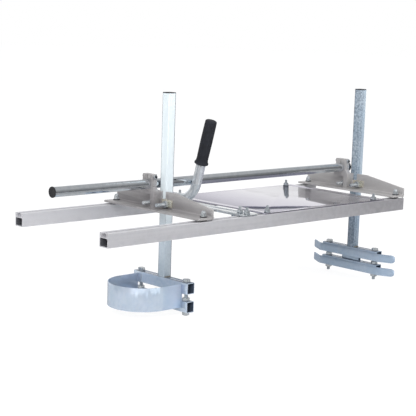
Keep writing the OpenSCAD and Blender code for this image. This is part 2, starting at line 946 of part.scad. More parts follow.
module at_saw() {
    place()
        translate([rail_l, 0, 0])
            children();
}

module thrust_tube() {
    color("lightsteelblue")
        place()
            translate([cap_lip_t, thrust_y, flange_z + thrust_z])
                rotate([0, 90, 0])
                    difference() {
                        cylinder(d = thrust_d, h = rail_l - cap_lip_t);
                        translate([0, 0, -over])
                            cylinder(d = thrust_d - 2 * thrust_wall, h = rail_l + 2 * over);
                    }
}

// Push-in cap with its plug towards +Z
module thrust_cap() {
    cylinder(d = cap_lip_d, h = cap_lip_t);
    cylinder(r = thrust_d / 2 - thrust_wall - push_gap, h = cap_lip_t + thrust_plug_l);
}

module thrust_tube_caps() {
    color("black")
        place()
            translate([0, thrust_y, flange_z + thrust_z]) {
                rotate([0, 90, 0])
                    thrust_cap();
                translate([rail_l + cap_lip_t, 0, 0])
                    rotate([0, -90, 0])
                        thrust_cap();
            }
}

rail(-1);  // front_rail
rail(1);  // rear_rail
deck_plate();
deck_slot_bolts();
deck_nuts();
deck_washers();
handle_base();
handle_tube();
handle_grip();
handle_end_plug();
handle_slot_bolts();
handle_nuts();
handle_stop();
color("dimgray") at_nose() bracket();  // nose_bracket
color("silver") at_nose() bracket_slot_bolts();  // nose_slot_bolts
color("silver") at_nose() bracket_dome_nuts();  // nose_dome_nuts
color("black") at_nose() bracket_washers();  // nose_washers
color("black") at_nose() bracket_spacers();  // nose_spacers
color("darkslategray") at_nose() pinch_bolt();  // nose_pinch_bolt
color("silver") at_nose() pinch_nut();  // nose_pinch_nut
color("silver") at_nose() post_clamp();  // nose_post_clamp
color("silver") at_nose() clamp_bolts();  // nose_clamp_bolts
color("silver") at_nose() clamp_nuts();  // nose_clamp_nuts
color("wheat") at_nose() slot_cover();  // nose_slot_cover
color("lightsteelblue") at_nose() post();  // nose_post
color("black") at_nose() post_cap();  // nose_post_cap
color("lightsteelblue") at_nose() jaw(seat_z);  // nose_upper_jaw
color("lightsteelblue") at_nose() nose_guard_band();  // nose_guard
color("silver") at_nose() jaw_bolts();  // nose_jaw_bolts
color("lightsteelblue") at_nose() jaw(nose_low_z);  // nose_lower_jaw
color("lightsteelblue") at_nose() jaw_pad(nose_low_z);  // nose_jaw_pad
color("silver") at_nose() jaw_nuts(nose_low_z);  // nose_jaw_nuts
color("dimgray") at_saw() bracket();  // saw_bracket
color("silver") at_saw() bracket_slot_bolts();  // saw_slot_bolts
color("silver") at_saw() bracket_dome_nuts();  // saw_dome_nuts
color("black") at_saw() bracket_washers();  // saw_washers
color("black") at_saw() bracket_spacers();  // saw_spacers
color("darkslategray") at_saw() pinch_bolt();  // saw_pinch_bolt
color("silver") at_saw() pinch_nut();  // saw_pinch_nut
color("silver") at_saw() post_clamp();  // saw_post_clamp
color("silver") at_saw() clamp_bolts();  // saw_clamp_bolts
color("silver") at_saw() clamp_nuts();  // saw_clamp_nuts
color("wheat") at_saw() slot_cover();  // saw_slot_cover
color("lightsteelblue") at_saw() post();  // saw_post
color("black") at_saw() post_cap();  // saw_post_cap
color("lightsteelblue") at_saw() jaw(seat_z);  // saw_upper_jaw
color("lightsteelblue") at_saw() skid(seat_z);  // saw_upper_skid
color("silver") at_saw() jaw_bolts();  // saw_jaw_bolts
color("lightsteelblue") at_saw() jaw(saw_low_z);  // saw_lower_jaw
color("lightsteelblue") at_saw() skid(saw_low_z);  // saw_lower_skid
color("lightsteelblue") at_saw() jaw_pad(saw_low_z);  // saw_jaw_pad
color("silver") at_saw() jaw_nuts(saw_low_z);  // saw_jaw_nuts
thrust_tube();
thrust_tube_caps();
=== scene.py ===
import bmesh
import bpy
import json
import math
from mathutils import Matrix, Vector


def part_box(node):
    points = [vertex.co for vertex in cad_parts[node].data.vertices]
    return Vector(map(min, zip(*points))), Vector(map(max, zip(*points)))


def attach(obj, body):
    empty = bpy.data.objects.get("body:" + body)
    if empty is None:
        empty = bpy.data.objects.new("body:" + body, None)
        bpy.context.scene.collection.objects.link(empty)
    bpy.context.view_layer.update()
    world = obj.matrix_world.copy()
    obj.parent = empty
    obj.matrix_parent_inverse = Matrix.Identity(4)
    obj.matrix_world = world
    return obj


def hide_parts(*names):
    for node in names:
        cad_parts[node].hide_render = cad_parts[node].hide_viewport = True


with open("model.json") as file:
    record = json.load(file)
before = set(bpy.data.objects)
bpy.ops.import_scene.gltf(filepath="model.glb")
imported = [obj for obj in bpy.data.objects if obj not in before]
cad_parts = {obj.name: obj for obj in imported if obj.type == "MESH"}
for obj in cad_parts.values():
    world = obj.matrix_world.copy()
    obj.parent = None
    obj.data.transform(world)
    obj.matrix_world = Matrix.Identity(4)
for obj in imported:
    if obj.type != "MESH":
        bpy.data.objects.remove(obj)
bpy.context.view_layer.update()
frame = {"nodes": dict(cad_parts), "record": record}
cadNodes = frame["nodes"]
bodyOf = {node: body for body, nodes in frame["record"]["behaviour"]["bodies"].items() for node in nodes}
slotOf = {part["node"]: part["material_slot"] for part in frame["record"]["subparts"]}
mm = 0.001
print("frame loaded:", len(cadNodes), "nodes")


# Node trees

def put(tree, kind, sockets=None, **settings):
    # Adds a node: settings are its properties, sockets its inputs, as values or as outputs to link
    node = tree.nodes.new(kind)
    for key, value in settings.items():
        setattr(node, key, value)
    for key, value in (sockets or {}).items():
        if isinstance(value, bpy.types.NodeSocket):
            tree.links.new(value, node.inputs[key])
        else:
            node.inputs[key].default_value = value
    return node


def calc(tree, operation, *values):
    return put(tree, "ShaderNodeMath", dict(enumerate(values)), operation=operation).outputs[0]


def times(tree, product, *others):
    for value in others:
        product = calc(tree, "MULTIPLY", product, value)
    return product


def remap(tree, value, low, high, newLow=0.0, newHigh=1.0):
    sockets = {"Value": value, "From Min": low, "From Max": high, "To Min": newLow, "To Max": newHigh}
    return put(tree, "ShaderNodeMapRange", sockets).outputs["Result"]


def objectPlace(tree):
    return put(tree, "ShaderNodeTexCoord").outputs["Object"]


def noise(tree, place, scale, detail=2.0, roughness=0.5):
    sockets = {"Vector": place, "Scale": scale, "Detail": detail, "Roughness": roughness}
    return put(tree, "ShaderNodeTexNoise", sockets).outputs


def mixColour(tree, factor, first, second):
    return put(tree, "ShaderNodeMix", {0: factor, 6: first, 7: second}, data_type="RGBA").outputs[2]


def stained(tree, colour, mask, strength, shade):
    return mixColour(tree, times(tree, mask, strength), colour, shade)


def screen(red, green, blue):
    # A colour as seen on a screen, 0 to 255, in the renderer's own linear values
    linear = [((c / 255 + 0.055) / 1.055) ** 2.4 for c in (red, green, blue)]
    return (*linear, 1.0)


def newGroup(name, kind, inputs, outputs):
    tree = bpy.data.node_groups.new(name, kind)
    for label, socketKind, value in inputs:
        socket = tree.interface.new_socket(label, in_out="INPUT", socket_type=socketKind)
        if value is not None:
            socket.default_value = value
    for label, socketKind in outputs:
        tree.interface.new_socket(label, in_out="OUTPUT", socket_type=socketKind)
    return tree, tree.nodes.new("NodeGroupInput").outputs, tree.nodes.new("NodeGroupOutput").inputs


def effectGroup(name, inputs, outputs):
    # A shader group whose inputs are numbers, or directions where their value has three parts
    kinds = [(label, "NodeSocketVector" if isinstance(value, tuple) else "NodeSocketFloat", value)
             for label, value in inputs.items()]
    return newGroup(name, "ShaderNodeTree", kinds, [(label, "NodeSocketFloat") for label in outputs])


# Shared surface effects

def grainGroup():
    # Fine drawn or brushed lines: Stretch is large across the lines and small along them
    grain = {"lineDetail": 4.0, "lineRoughness": 0.65, "lines": (0.3, 0.7),
             "streakScale": 0.17, "streakDetail": 2.0, "streaks": (0.35, 0.65)}
    inputs = {"Stretch": (1, 1, 1), "Scale": 40.0}
    tree, given, result = effectGroup("drawnGrain", inputs, ["Lines", "Streaks"])
    spread = put(tree, "ShaderNodeVectorMath", {0: objectPlace(tree), 1: given["Stretch"]},
                 operation="MULTIPLY").outputs[0]
    fine = noise(tree, spread, given["Scale"], grain["lineDetail"], grain["lineRoughness"])["Fac"]
    wide = times(tree, given["Scale"], grain["streakScale"])
    broad = noise(tree, spread, wide, grain["streakDetail"])["Fac"]
    tree.links.new(remap(tree, fine, *grain["lines"]), result["Lines"])
    tree.links.new(remap(tree, broad, *grain["streaks"]), result["Streaks"])
    return tree


def spangleGroup():
    # Zinc crystals: flakes of one value each, with ragged borders, and soft clouds over them
    zinc = {"borderScale": 260.0, "cloudScale": 22.0, "cloudDetail": 3.0, "clouds": (0.3, 0.7)}
    inputs = {"Scale": 120.0, "Ragged": 0.004}
    tree, given, result = effectGroup("zincSpangle", inputs, ["Flake", "Cloud"])
    place = objectPlace(tree)
    wander = noise(tree, place, zinc["borderScale"])["Color"]
    shift = put(tree, "ShaderNodeVectorMath", {0: wander, 1: (-0.5, -0.5, -0.5)}, operation="ADD").outputs[0]
    scaled = {0: shift, "Scale": given["Ragged"]}
    shift = put(tree, "ShaderNodeVectorMath", scaled, operation="SCALE").outputs[0]
    ragged = put(tree, "ShaderNodeVectorMath", {0: place, 1: shift}, operation="ADD").outputs[0]
    cell = put(tree, "ShaderNodeTexVoronoi", {"Vector": ragged, "Scale": given["Scale"]}).outputs["Color"]
    flake = put(tree, "ShaderNodeSeparateColor", {"Color": cell}).outputs["Red"]
    cloud = noise(tree, place, zinc["cloudScale"], zinc["cloudDetail"])["Fac"]
    tree.links.new(flake, result["Flake"])
    tree.links.new(remap(tree, cloud, *zinc["clouds"]), result["Cloud"])
    return tree


def edgeGroup():
    # Rubbed edges, lighter where worn, and a painted dark outline where a look's rim is darker, as on the
    # bolts and posts: Reach is how far the rim spreads, Breaks how uneven it is
    rub = {"flat": 0.52, "patchScale": 90.0, "patchDetail": 3.0, "patches": (0.4, 0.6)}
    tree, given, result = effectGroup("edgeWearAndOutline", {"Reach": 0.06, "Breaks": 0.5}, ["Edge"])
    bend = put(tree, "ShaderNodeNewGeometry").outputs["Pointiness"]
    rim = remap(tree, bend, rub["flat"], calc(tree, "ADD", given["Reach"], rub["flat"]))
    patch = noise(tree, objectPlace(tree), rub["patchScale"], rub["patchDetail"])["Fac"]
    patch = remap(tree, patch, *rub["patches"])
    kept = calc(tree, "SUBTRACT", 1.0, times(tree, given["Breaks"], patch))
    tree.links.new(times(tree, rim, kept), result["Edge"])
    return tree


def marksAndMottleGroup():
    # Handling marks, and the mottle of painted shade on zinc: large soft patches and small specks
    marks = {"patchDetail": 4.0, "patchRoughness": 0.6, "patches": (0.35, 0.65),
             "speckDetail": 1.0, "specks": (0.62, 0.7)}
    inputs = {"Patch Scale": 9.0, "Speck Scale": 300.0}
    tree, given, result = effectGroup("handlingMarksAndShadeMottle", inputs, ["Patches", "Specks"])
    place = objectPlace(tree)
    soft = noise(tree, place, given["Patch Scale"], marks["patchDetail"], marks["patchRoughness"])["Fac"]
    speck = noise(tree, place, given["Speck Scale"], marks["speckDetail"])["Fac"]
    tree.links.new(remap(tree, soft, *marks["patches"]), result["Patches"])
    tree.links.new(remap(tree, speck, *marks["specks"]), result["Specks"])
    return tree


def zoneGroup():
    # Soft-ended stretch of a piece along one axis, from Start to End, with ends as long as Fade
    inputs = {"Axis": (0, 0, 1), "Start": 0.0, "End": 1.0, "Fade": 0.05}
    tree, given, result = effectGroup("softZone", inputs, ["Zone"])
    along = put(tree, "ShaderNodeVectorMath", {0: objectPlace(tree), 1: given["Axis"]},
                operation="DOT_PRODUCT").outputs["Value"]
    startFull = calc(tree, "ADD", given["Start"], given["Fade"])
    endFull = calc(tree, "SUBTRACT", given["End"], given["Fade"])
    rise = remap(tree, along, given["Start"], startFull)
    fall = remap(tree, along, endFull, given["End"], 1.0, 0.0)
    tree.links.new(times(tree, rise, fall), result["Zone"])
    return tree


drawnGrain = grainGroup()
zincSpangle = spangleGroup()
edgeWearAndOutline = edgeGroup()
handlingMarksAndShadeMottle = marksAndMottleGroup()
softZone = zoneGroup()


def effect(tree, group, **values):
    node = put(tree, "ShaderNodeGroup", node_tree=group)
    for key, value in values.items():
        node.inputs[key.replace("_", " ")].default_value = value
    return node.outputs


# Steps that the finishes share. A look's roughness is a range and its depth is the bump's height.
# Stretch and across set the drawn lines, crystals and ragged the zinc, patches and specks the marks,
# reach and breaks the rim: its wear, and on bolts and posts its painted dark outline

def newMaterial(name, look, specular=0.5):
    material = bpy.data.materials.new(name)
    material.use_nodes = True
    tree = material.node_tree
    tree.nodes.clear()
    sockets = {"Metallic": look["metal"], "Specular IOR Level": specular}
    shader = put(tree, "ShaderNodeBsdfPrincipled", sockets)
    put(tree, "ShaderNodeOutputMaterial", {"Surface": shader.outputs[0]})
    return material, tree, shader


def joinUp(tree, shader, look, colour, roughMask, height):
    dented = {"Height": height, "Strength": look["bump"], "Distance": look["depth"]}
    dent = put(tree, "ShaderNodeBump", dented)
    tree.links.new(colour, shader.inputs["Base Color"])
    tree.links.new(remap(tree, roughMask, 0.0, 1.0, *look["roughness"]), shader.inputs["Roughness"])
    tree.links.new(dent.outputs[0], shader.inputs["Normal"])


def edgeWearAndOutlineMask(tree, look):
    return effect(tree, edgeWearAndOutline, Reach=look["reach"], Breaks=look["breaks"])["Edge"]


def paintedLightAndShade(tree, look, colour, patches):
    # Painted light and shade along stretches of a piece. Each zone: its axis, start, end and fade in metres
    # along it, strength, shade and how patchy it is
    for axis, start, end, fade, strength, shade, patchy in look["zones"]:
        zone = effect(tree, softZone, Axis=axis, Start=start, End=end, Fade=fade)["Zone"]
        kept = remap(tree, patches, 0.0, 1.0, 1.0 - patchy, 1.0)
        colour = stained(tree, colour, times(tree, zone, kept), strength, look[shade])
    return colour


def paintedHollowShade(tree, look, colour):
    # Painted shade inside tubes and slots, and on zinc a painted darker reflection on lying tubes' tops,
    # where the mesh's faces are marked
    inside = put(tree, "ShaderNodeAttribute", attribute_name="inside").outputs["Fac"]
    inside = remap(tree, inside, look["hollowFrom"], 1.0)
    return stained(tree, colour, inside, look["hollowShare"], look["hollow"])


# Finishes, one function each

def extrudedAluminium():
    look = {
        "light": screen(207, 206, 209), "dark": screen(198, 198, 202), "rim": screen(228, 228, 232),
        "far": screen(150, 148, 152), "hollow": screen(52, 56, 66), "hollowFrom": 0.75, "hollowShare": 0.8,
        "metal": 0.5, "roughness": (0.34, 0.42), "bump": 0.06, "depth": 0.15 * mm,
        "stretch": (0.012, 1.0, 1.0), "across": 900.0, "patches": 7.0, "patchShare": 0.35,
        "reach": 0.05, "breaks": 0.4,
        "zones": [((0, 1, 0), 0.1, 0.5, 0.02, 0.7, "rim", 0.0),     # painted light: the rear rail brighter
                  ((1, 0, 0), -0.1, 1.5, 0.5, 0.95, "far", 0.0)],   # painted shade: both darker towards the saw
    }
    material, tree, shader = newMaterial("extrudedAluminium", look)
    grain = effect(tree, drawnGrain, Stretch=look["stretch"], Scale=look["across"])
    patches = effect(tree, handlingMarksAndShadeMottle, Patch_Scale=look["patches"])["Patches"]
    colour = mixColour(tree, grain["Streaks"], look["light"], look["dark"])
    colour = stained(tree, colour, patches, look["patchShare"], look["dark"])
    colour = paintedLightAndShade(tree, look, colour, patches)
    colour = mixColour(tree, edgeWearAndOutlineMask(tree, look), colour, look["rim"])
    colour = paintedHollowShade(tree, look, colour)
    joinUp(tree, shader, look, colour, grain["Lines"], grain["Lines"])
    return material


def polishedSheet():
    look = {
        "light": screen(188, 185, 200), "dark": screen(177, 173, 190), "rim": screen(220, 218, 228),
        "metal": 0.96, "roughness": (0.05, 0.09), "bump": 0.006, "depth": 0.1 * mm,
        "stretch": (0.03, 1.0, 1.0), "across": 420.0, "patches": 5.0, "reach": 0.05, "breaks": 0.3,
    }
    material, tree, shader = newMaterial("polishedSheet", look)
    grain = effect(tree, drawnGrain, Stretch=look["stretch"], Scale=look["across"])
    patches = effect(tree, handlingMarksAndShadeMottle, Patch_Scale=look["patches"])["Patches"]
    colour = mixColour(tree, patches, look["light"], look["dark"])
    colour = mixColour(tree, edgeWearAndOutlineMask(tree, look), colour, look["rim"])
    joinUp(tree, shader, look, colour, patches, grain["Lines"])
    return material


def brushedCasting():
    look = {
        "light": screen(176, 173, 174), "dark": screen(158, 155, 157), "rim": screen(214, 212, 211),
        "pit": screen(134, 132, 134), "pits": 420.0, "pitShare": 0.5, "metal": 0.55,
        "roughness": (0.34, 0.46), "bump": 0.12, "depth": 0.2 * mm,
        "stretch": (1.0, 0.03, 1.0), "across": 520.0, "patches": 16.0, "reach": 0.07, "breaks": 0.45,
        "zones": [((1, 0, 0), 0.2, 0.9, 0.1, 0.6, "rim", 0.0),      # painted light: the saw bracket brighter
                  ((0, -1, 0), 0.0, 0.6, 0.12, 0.35, "rim", 0.0)],  # painted light on the front of both
    }
    material, tree, shader = newMaterial("brushedCasting", look)
    grain = effect(tree, drawnGrain, Stretch=look["stretch"], Scale=look["across"])
    marks = effect(tree, handlingMarksAndShadeMottle, Patch_Scale=look["patches"], Speck_Scale=look["pits"])
    colour = mixColour(tree, grain["Streaks"], look["light"], look["dark"])
    colour = stained(tree, colour, marks["Specks"], look["pitShare"], look["pit"])
    colour = paintedLightAndShade(tree, look, colour, marks["Patches"])
    colour = mixColour(tree, edgeWearAndOutlineMask(tree, look), colour, look["rim"])
    joinUp(tree, shader, look, colour, grain["Lines"], grain["Lines"])
    return material


def zincPlating(name, look):
    # Bright, bluish or yellowish zinc: crystals, drawn lines along the piece and rubbed edges, which on bolts
    # and posts are a painted dark outline, and painted light and shade in zones and hollows
    material, tree, shader = newMaterial(name, look)
    crystals = effect(tree, zincSpangle, Scale=look["crystals"], Ragged=look["ragged"])
    grain = effect(tree, drawnGrain, Stretch=look["stretch"], Scale=look["across"])
    colour = mixColour(tree, crystals["Cloud"], look["light"], look["tint"])
    flakes = remap(tree, crystals["Flake"], look["flakesFrom"], 1.0)
    colour = stained(tree, colour, flakes, look["flakes"], look["dark"])
    colour = stained(tree, colour, grain["Streaks"], look["streaks"], look["dark"])
    colour = mixColour(tree, edgeWearAndOutlineMask(tree, look), colour, look["rim"])
    if look["zones"]:
        # Mottle that breaks up the painted light and shade of the zones
        shadeMottle = effect(tree, handlingMarksAndShadeMottle, Patch_Scale=look["shadeMottle"])["Patches"]
        colour = paintedLightAndShade(tree, look, colour, shadeMottle)
    colour = paintedHollowShade(tree, look, colour)
    height = calc(tree, "ADD", grain["Lines"], crystals["Cloud"])
    joinUp(tree, shader, look, colour, crystals["Flake"], height)
    return material


def blackMoulding():
    look = {
        "base": screen(34, 34, 37), "worn": screen(58, 58, 62), "patchShare": 0.3, "rimShare": 0.7,
        "metal": 0.0, "specular": 0.45, "roughness": (0.42, 0.6), "bump": 0.3, "depth": 0.1 * mm,
        "patches": 30.0, "specks": 900.0, "reach": 0.08, "breaks": 0.5,
    }
    material, tree, shader = newMaterial("blackMoulding", look, look["specular"])
    marks = effect(tree, handlingMarksAndShadeMottle, Patch_Scale=look["patches"], Speck_Scale=look["specks"])
    patches = times(tree, marks["Patches"], look["patchShare"])
    colour = mixColour(tree, patches, look["base"], look["worn"])
    colour = stained(tree, colour, edgeWearAndOutlineMask(tree, look), look["rimShare"], look["worn"])
    joinUp(tree, shader, look, colour, marks["Patches"], marks["Specks"])
    return material


def gripRubber():
    look = {
        "base": screen(30, 31, 36), "bloom": screen(62, 66, 76), "patchShare": 0.25, "rimShare": 0.5,
        "metal": 0.0, "specular": 0.4, "roughness": (0.55, 0.75), "bump": 0.4, "depth": 0.1 * mm,
        "patches": 45.0, "specks": 1400.0, "reach": 0.10, "breaks": 0.3,
    }
    material, tree, shader = newMaterial("gripRubber", look, look["specular"])
    marks = effect(tree, handlingMarksAndShadeMottle, Patch_Scale=look["patches"], Speck_Scale=look["specks"])
    rim = times(tree, edgeWearAndOutlineMask(tree, look), look["rimShare"])
    worn = calc(tree, "ADD", times(tree, marks["Patches"], look["patchShare"]), rim)
    colour = mixColour(tree, worn, look["base"], look["bloom"])
    joinUp(tree, shader, look, colour, marks["Patches"], marks["Specks"])
    return material


def weldMetal():
    look = {
        "light": screen(216, 214, 200), "burnt": screen(150, 138, 112), "blue": screen(120, 130, 152),
        "blueShare": 0.35, "metal": 0.95, "roughness": (0.22, 0.4), "bump": 0.5, "depth": 0.3 * mm,
        "patches": 160.0, "crystals": 260.0, "ragged": 0.004,
    }
    material, tree, shader = newMaterial("weldMetal", look)
    patches = effect(tree, handlingMarksAndShadeMottle, Patch_Scale=look["patches"])["Patches"]
    flake = effect(tree, zincSpangle, Scale=look["crystals"], Ragged=look["ragged"])["Flake"]
    colour = mixColour(tree, patches, look["light"], look["burnt"])
    colour = stained(tree, colour, flake, look["blueShare"], look["blue"])
    joinUp(tree, shader, look, colour, flake, patches)
    return material


# Plated pieces. A look starts from the zinc and changes what differs

zincLook = {
    "metal": 1.0, "depth": 0.15 * mm, "streaks": 0.2, "flakesFrom": 0.35, "reach": 0.06, "breaks": 0.4,
    "hollow": screen(38, 50, 74), "hollowFrom": 0.0, "hollowShare": 0.85, "zones": [],
}
# Pale, deep and shadow are painted light and shade for the zones, dark serves the flakes and streaks and
# painted shade too, and the darker rim is a painted outline
postLook = dict(
    zincLook, light=screen(238, 247, 251), tint=screen(206, 224, 236), dark=screen(104, 126, 150),
    rim=screen(188, 202, 214), pale=screen(234, 243, 246), deep=screen(60, 72, 88), shadow=screen(70, 74, 86),
    metal=0.12, roughness=(0.14, 0.22), crystals=110.0, ragged=0.006, flakes=0.08, bump=0.05,
    stretch=(1.0, 1.0, 0.10), across=260.0, shadeMottle=170.0,
    zones=[
        ((-1, 0, 0), -0.1, 0.9, 0.1, 0.9, "pale", 0.1),             # painted light on the nose post
        ((0, 0, 1), -0.2, 0.26, 0.06, 0.5, "dark", 0.25),           # painted shade below the top of the rails
        ((1, 0, 0), 0.3, 0.8, 0.05, 0.48, "dark", 0.3),             # painted shade on the saw post
        ((1, 0, 0), 0.3, 0.536, 0.004, 0.52, "deep", 1.0),          # painted shade, mottled, on its nose side
        ((1, 0, 0), -0.2112, -0.18, 0.0008, 0.9, "shadow", 0.1),    # painted shadow on the nose post's side towards the saw
        ((0, 1, 0), 0.0152, 0.03, 0.0008, 0.75, "shadow", 0.1),     # painted shadow on the rear of both posts
    ],
)
tubeLook = dict(
    zincLook, light=screen(222, 228, 234), tint=screen(206, 216, 226), dark=screen(140, 150, 162),
    rim=screen(240, 244, 248), roughness=(0.05, 0.08), crystals=170.0, ragged=0.008, flakes=0.04, bump=0.02,
    stretch=(0.02, 1.0, 1.0), across=320.0,
)
handleLook = dict(tubeLook, metal=0.7, light=screen(236, 241, 245), tint=screen(222, 230, 237))
bandLook = dict(
    zincLook, light=screen(212, 224, 246), tint=screen(194, 214, 236), dark=screen(112, 148, 180),
    rim=screen(240, 248, 252), metal=0.5, roughness=(0.18, 0.24), crystals=90.0, ragged=0.012, flakes=0.05,
    bump=0.02, stretch=(1.0, 1.0, 0.3), across=60.0, shadeMottle=55.0,
    zones=[((1, 0, 0), 0.4, 0.8, 0.05, 0.38, "dark", 0.3)],         # painted shade at the saw end
)
# The bolts' rim is darker than the zinc: a painted dark outline round heads and nuts
boltLook = dict(
    zincLook, light=screen(246, 249, 250), tint=screen(216, 224, 230), dark=screen(96, 106, 118),
    rim=screen(84, 92, 104), metal=0.75, roughness=(0.05, 0.12), crystals=400.0, ragged=0.003, flakes=0.2,
    bump=0.06, stretch=(1.0, 1.0, 1.0), across=500.0,
)
yellowLook = dict(
    zincLook, light=screen(230, 227, 210), tint=screen(212, 207, 184), dark=screen(168, 160, 136),
    rim=screen(244, 240, 226), metal=0.8, roughness=(0.18, 0.32), crystals=200.0, ragged=0.006, flakes=0.1,
    bump=0.05, stretch=(1.0, 0.05, 1.0), across=400.0,
)
darkLook = dict(
    zincLook, light=screen(92, 96, 102), tint=screen(70, 74, 80), dark=screen(48, 50, 54),
    rim=screen(150, 154, 160), roughness=(0.25, 0.4), crystals=400.0, ragged=0.003, flakes=0.2,
    streaks=0.3, bump=0.1, stretch=(1.0, 1.0, 1.0), across=500.0,
)

finishes = {
    "rail": extrudedAluminium(),
    "plate": polishedSheet(),
    "cast_bracket": brushedCasting(),
    "zinc_post": zincPlating("postZinc", postLook),
    "zinc_tube": zincPlating("tubeZinc", tubeLook),
    "zinc_band": zincPlating("bandZinc", bandLook),
    "zinc_plate": zincPlating("yellowZinc", yellowLook),
    "bright_zinc": zincPlating("boltZinc", boltLook),
    "dark_steel": zincPlating("darkSteel", darkLook),
    "black_plastic": blackMoulding(),
    "rubber": gripRubber(),
}
weldFinish = weldMetal()
handleFinish = zincPlating("handleZinc", handleLook)
print("finishes made:", len(finishes) + 2)


# Meshes

def toObject(name, mesh):
    piece = bpy.data.objects.new(name, mesh)
    bpy.context.scene.collection.objects.link(piece)
    return piece


def toMesh(work, name):
    mesh = bpy.data.meshes.new(name)
    work.to_mesh(mesh)
    work.free()
    return mesh


def baked(piece):
    # The piece with its modifiers worked in, as a plain mesh, and the working object gone
    depsgraph = bpy.context.evaluated_depsgraph_get()
    mesh = bpy.data.meshes.new_from_object(piece.evaluated_get(depsgraph), depsgraph=depsgraph)
    bpy.data.objects.remove(piece)
    return mesh


def finished(name, mesh, nodes, material=None, sharp=35, slot=None, body=None):
    # Shades the mesh, gives it its finish and hands it to its body
    mesh.materials.clear()
    slot = slot or slotOf[nodes[0]]
    mesh.materials.append(material or finishes[slot])
    mesh.polygons.foreach_set("material_index", [0] * len(mesh.polygons))
    mesh.polygons.foreach_set("use_smooth", [True] * len(mesh.polygons))
    mesh.set_sharp_from_angle(angle=math.radians(sharp))
    mesh.name = name
    piece = toObject(name, mesh)
    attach(piece, body or bodyOf[nodes[0]])
    if nodes:
        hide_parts(*nodes)
    return piece


def mergedCopy(node):
    # A CAD node's triangles as one closed mesh with flat faces
    limits = {"merge": 0.002 * mm, "flat": math.radians(0.6)}
    work = bmesh.new()
    work.from_mesh(cadNodes[node].data)
    bmesh.ops.remove_doubles(work, verts=work.verts, dist=limits["merge"])
    bmesh.ops.dissolve_limit(work, angle_limit=limits["flat"], verts=work.verts, edges=work.edges,
                             delimit=set())
    return work


def softened(node, width):
    # A copy of a CAD node whose sharp edges are broken by a small round
    mesh = toMesh(mergedCopy(node), node)
    mesh.polygons.foreach_set("use_smooth", [True] * len(mesh.polygons))
    piece = toObject("soft", mesh)
    bevel = piece.modifiers.new("broken edges", "BEVEL")
    bevel.width = width * mm
    bevel.segments = 2
    bevel.limit_method = "ANGLE"
    bevel.angle_limit = math.radians(35)  # what counts as a sharp edge
    bevel.use_clamp_overlap = False
    bevel.harden_normals = True
    return baked(piece)


def markInsideShade(mesh, low, high, share):
    # Marks the faces inside a straight tube or rail for painted shade, and a lying tube's top less for a
    # painted darker reflection. Share is how much of the height the hollow takes
    mark = {"wall": 1.2 * mm, "crosswise": 0.5, "upward": 0.7, "top": 0.72}
    spread = high - low
    along = max(range(3), key=lambda i: spread[i])
    across = [i for i in range(3) if i != along]
    ceiling = low.z + share * spread.z
    values = []
    for face in mesh.polygons:
        margin = min(min(face.center[i] - low[i], high[i] - face.center[i]) for i in across)
        within = margin > mark["wall"] and face.center.z < ceiling
        if within and abs(face.normal[along]) < mark["crosswise"]:
            values.append(1.0)
        else:
            values.append(mark["top"] if along != 2 and face.normal.z > mark["upward"] else 0.0)
    mesh.attributes.new("inside", "FLOAT", "FACE").data.foreach_set("value", values)


def markGuardInsideShade(mesh, low, high):
    # Painted shade the same way for the bent guard band: the faces that look towards the middle of its round
    mark = {"radius": 86 * mm, "upright": 0.5, "shade": 0.42}
    hub = Vector((low.x + mark["radius"], high.y - mark["radius"], 0))
    values = []
    for face in mesh.polygons:
        inward = Vector((hub.x - face.center.x, hub.y - face.center.y, 0))
        upright = abs(face.normal.z) < mark["upright"]
        values.append(mark["shade"] if upright and inward.dot(face.normal) > 0 else 0.0)
    mesh.attributes.new("inside", "FLOAT", "FACE").data.foreach_set("value", values)


def islands(node):
    # Lowest and highest corners of each separate solid in a CAD node
    work = mergedCopy(node)
    left = set(work.verts)
    found = []
    while left:
        stack = [left.pop()]
        members = list(stack)
        while stack:
            for edge in stack.pop().link_edges:
                for vert in edge.verts:
                    if vert in left:
                        left.discard(vert)
                        stack.append(vert)
                        members.append(vert)
        low = Vector([min(v.co[i] for v in members) for i in range(3)])
        high = Vector([max(v.co[i] for v in members) for i in range(3)])
        found.append((low, high))
    work.free()
    return sorted(found, key=lambda corners: tuple(round(c, 4) for c in corners[0]))


def joined(meshes):
    work = bmesh.new()
    for mesh in meshes:
        work.from_mesh(mesh)
    return toMesh(work, "joined")


def turned(outline, foot, way, sides):
    # Solid of revolution: outline is (radius, height) from pole to pole, or round a closed wall,
    # which may run over a closed end and back inside
    turn = Vector(way).to_track_quat("Z", "Y").to_matrix().to_4x4()
    angles = [2 * math.pi * i / sides for i in range(sides)]
    work = bmesh.new()
    rings = []
    for radius, height in outline:
        if radius == 0:
            rings.append([work.verts.new((0, 0, height))])
        else:
            circle = [(radius * math.cos(a), radius * math.sin(a), height) for a in angles]
            rings.append([work.verts.new(place) for place in circle])
    pairs = list(zip(rings, rings[1:]))
    if outline[0][0] > 0 and outline[-1][0] > 0:
        pairs.append((rings[-1], rings[0]))
    for low, high in pairs:
        if len(low) == 1 and len(high) == 1:
            continue
        for i in range(sides):
            j = (i + 1) % sides
            corners = [low[i % len(low)], low[j % len(low)], high[j % len(high)], high[i % len(high)]]
            work.faces.new(list(dict.fromkeys(corners)))
    bmesh.ops.recalc_face_normals(work, faces=work.faces)
    bmesh.ops.transform(work, matrix=Matrix.Translation(foot) @ turn, verts=work.verts)
    return toMesh(work, "turned")


# Geometry trees for what repeats

def shapeTree(name, inputs):
    start = [("Geometry", "NodeSocketGeometry", None), ("Material", "NodeSocketMaterial", None)]
    floats = [(label, "NodeSocketFloat", value) for label, value in inputs.items()]
    return newGroup(name, "GeometryNodeTree", start + floats, [("Geometry", "NodeSocketGeometry")])


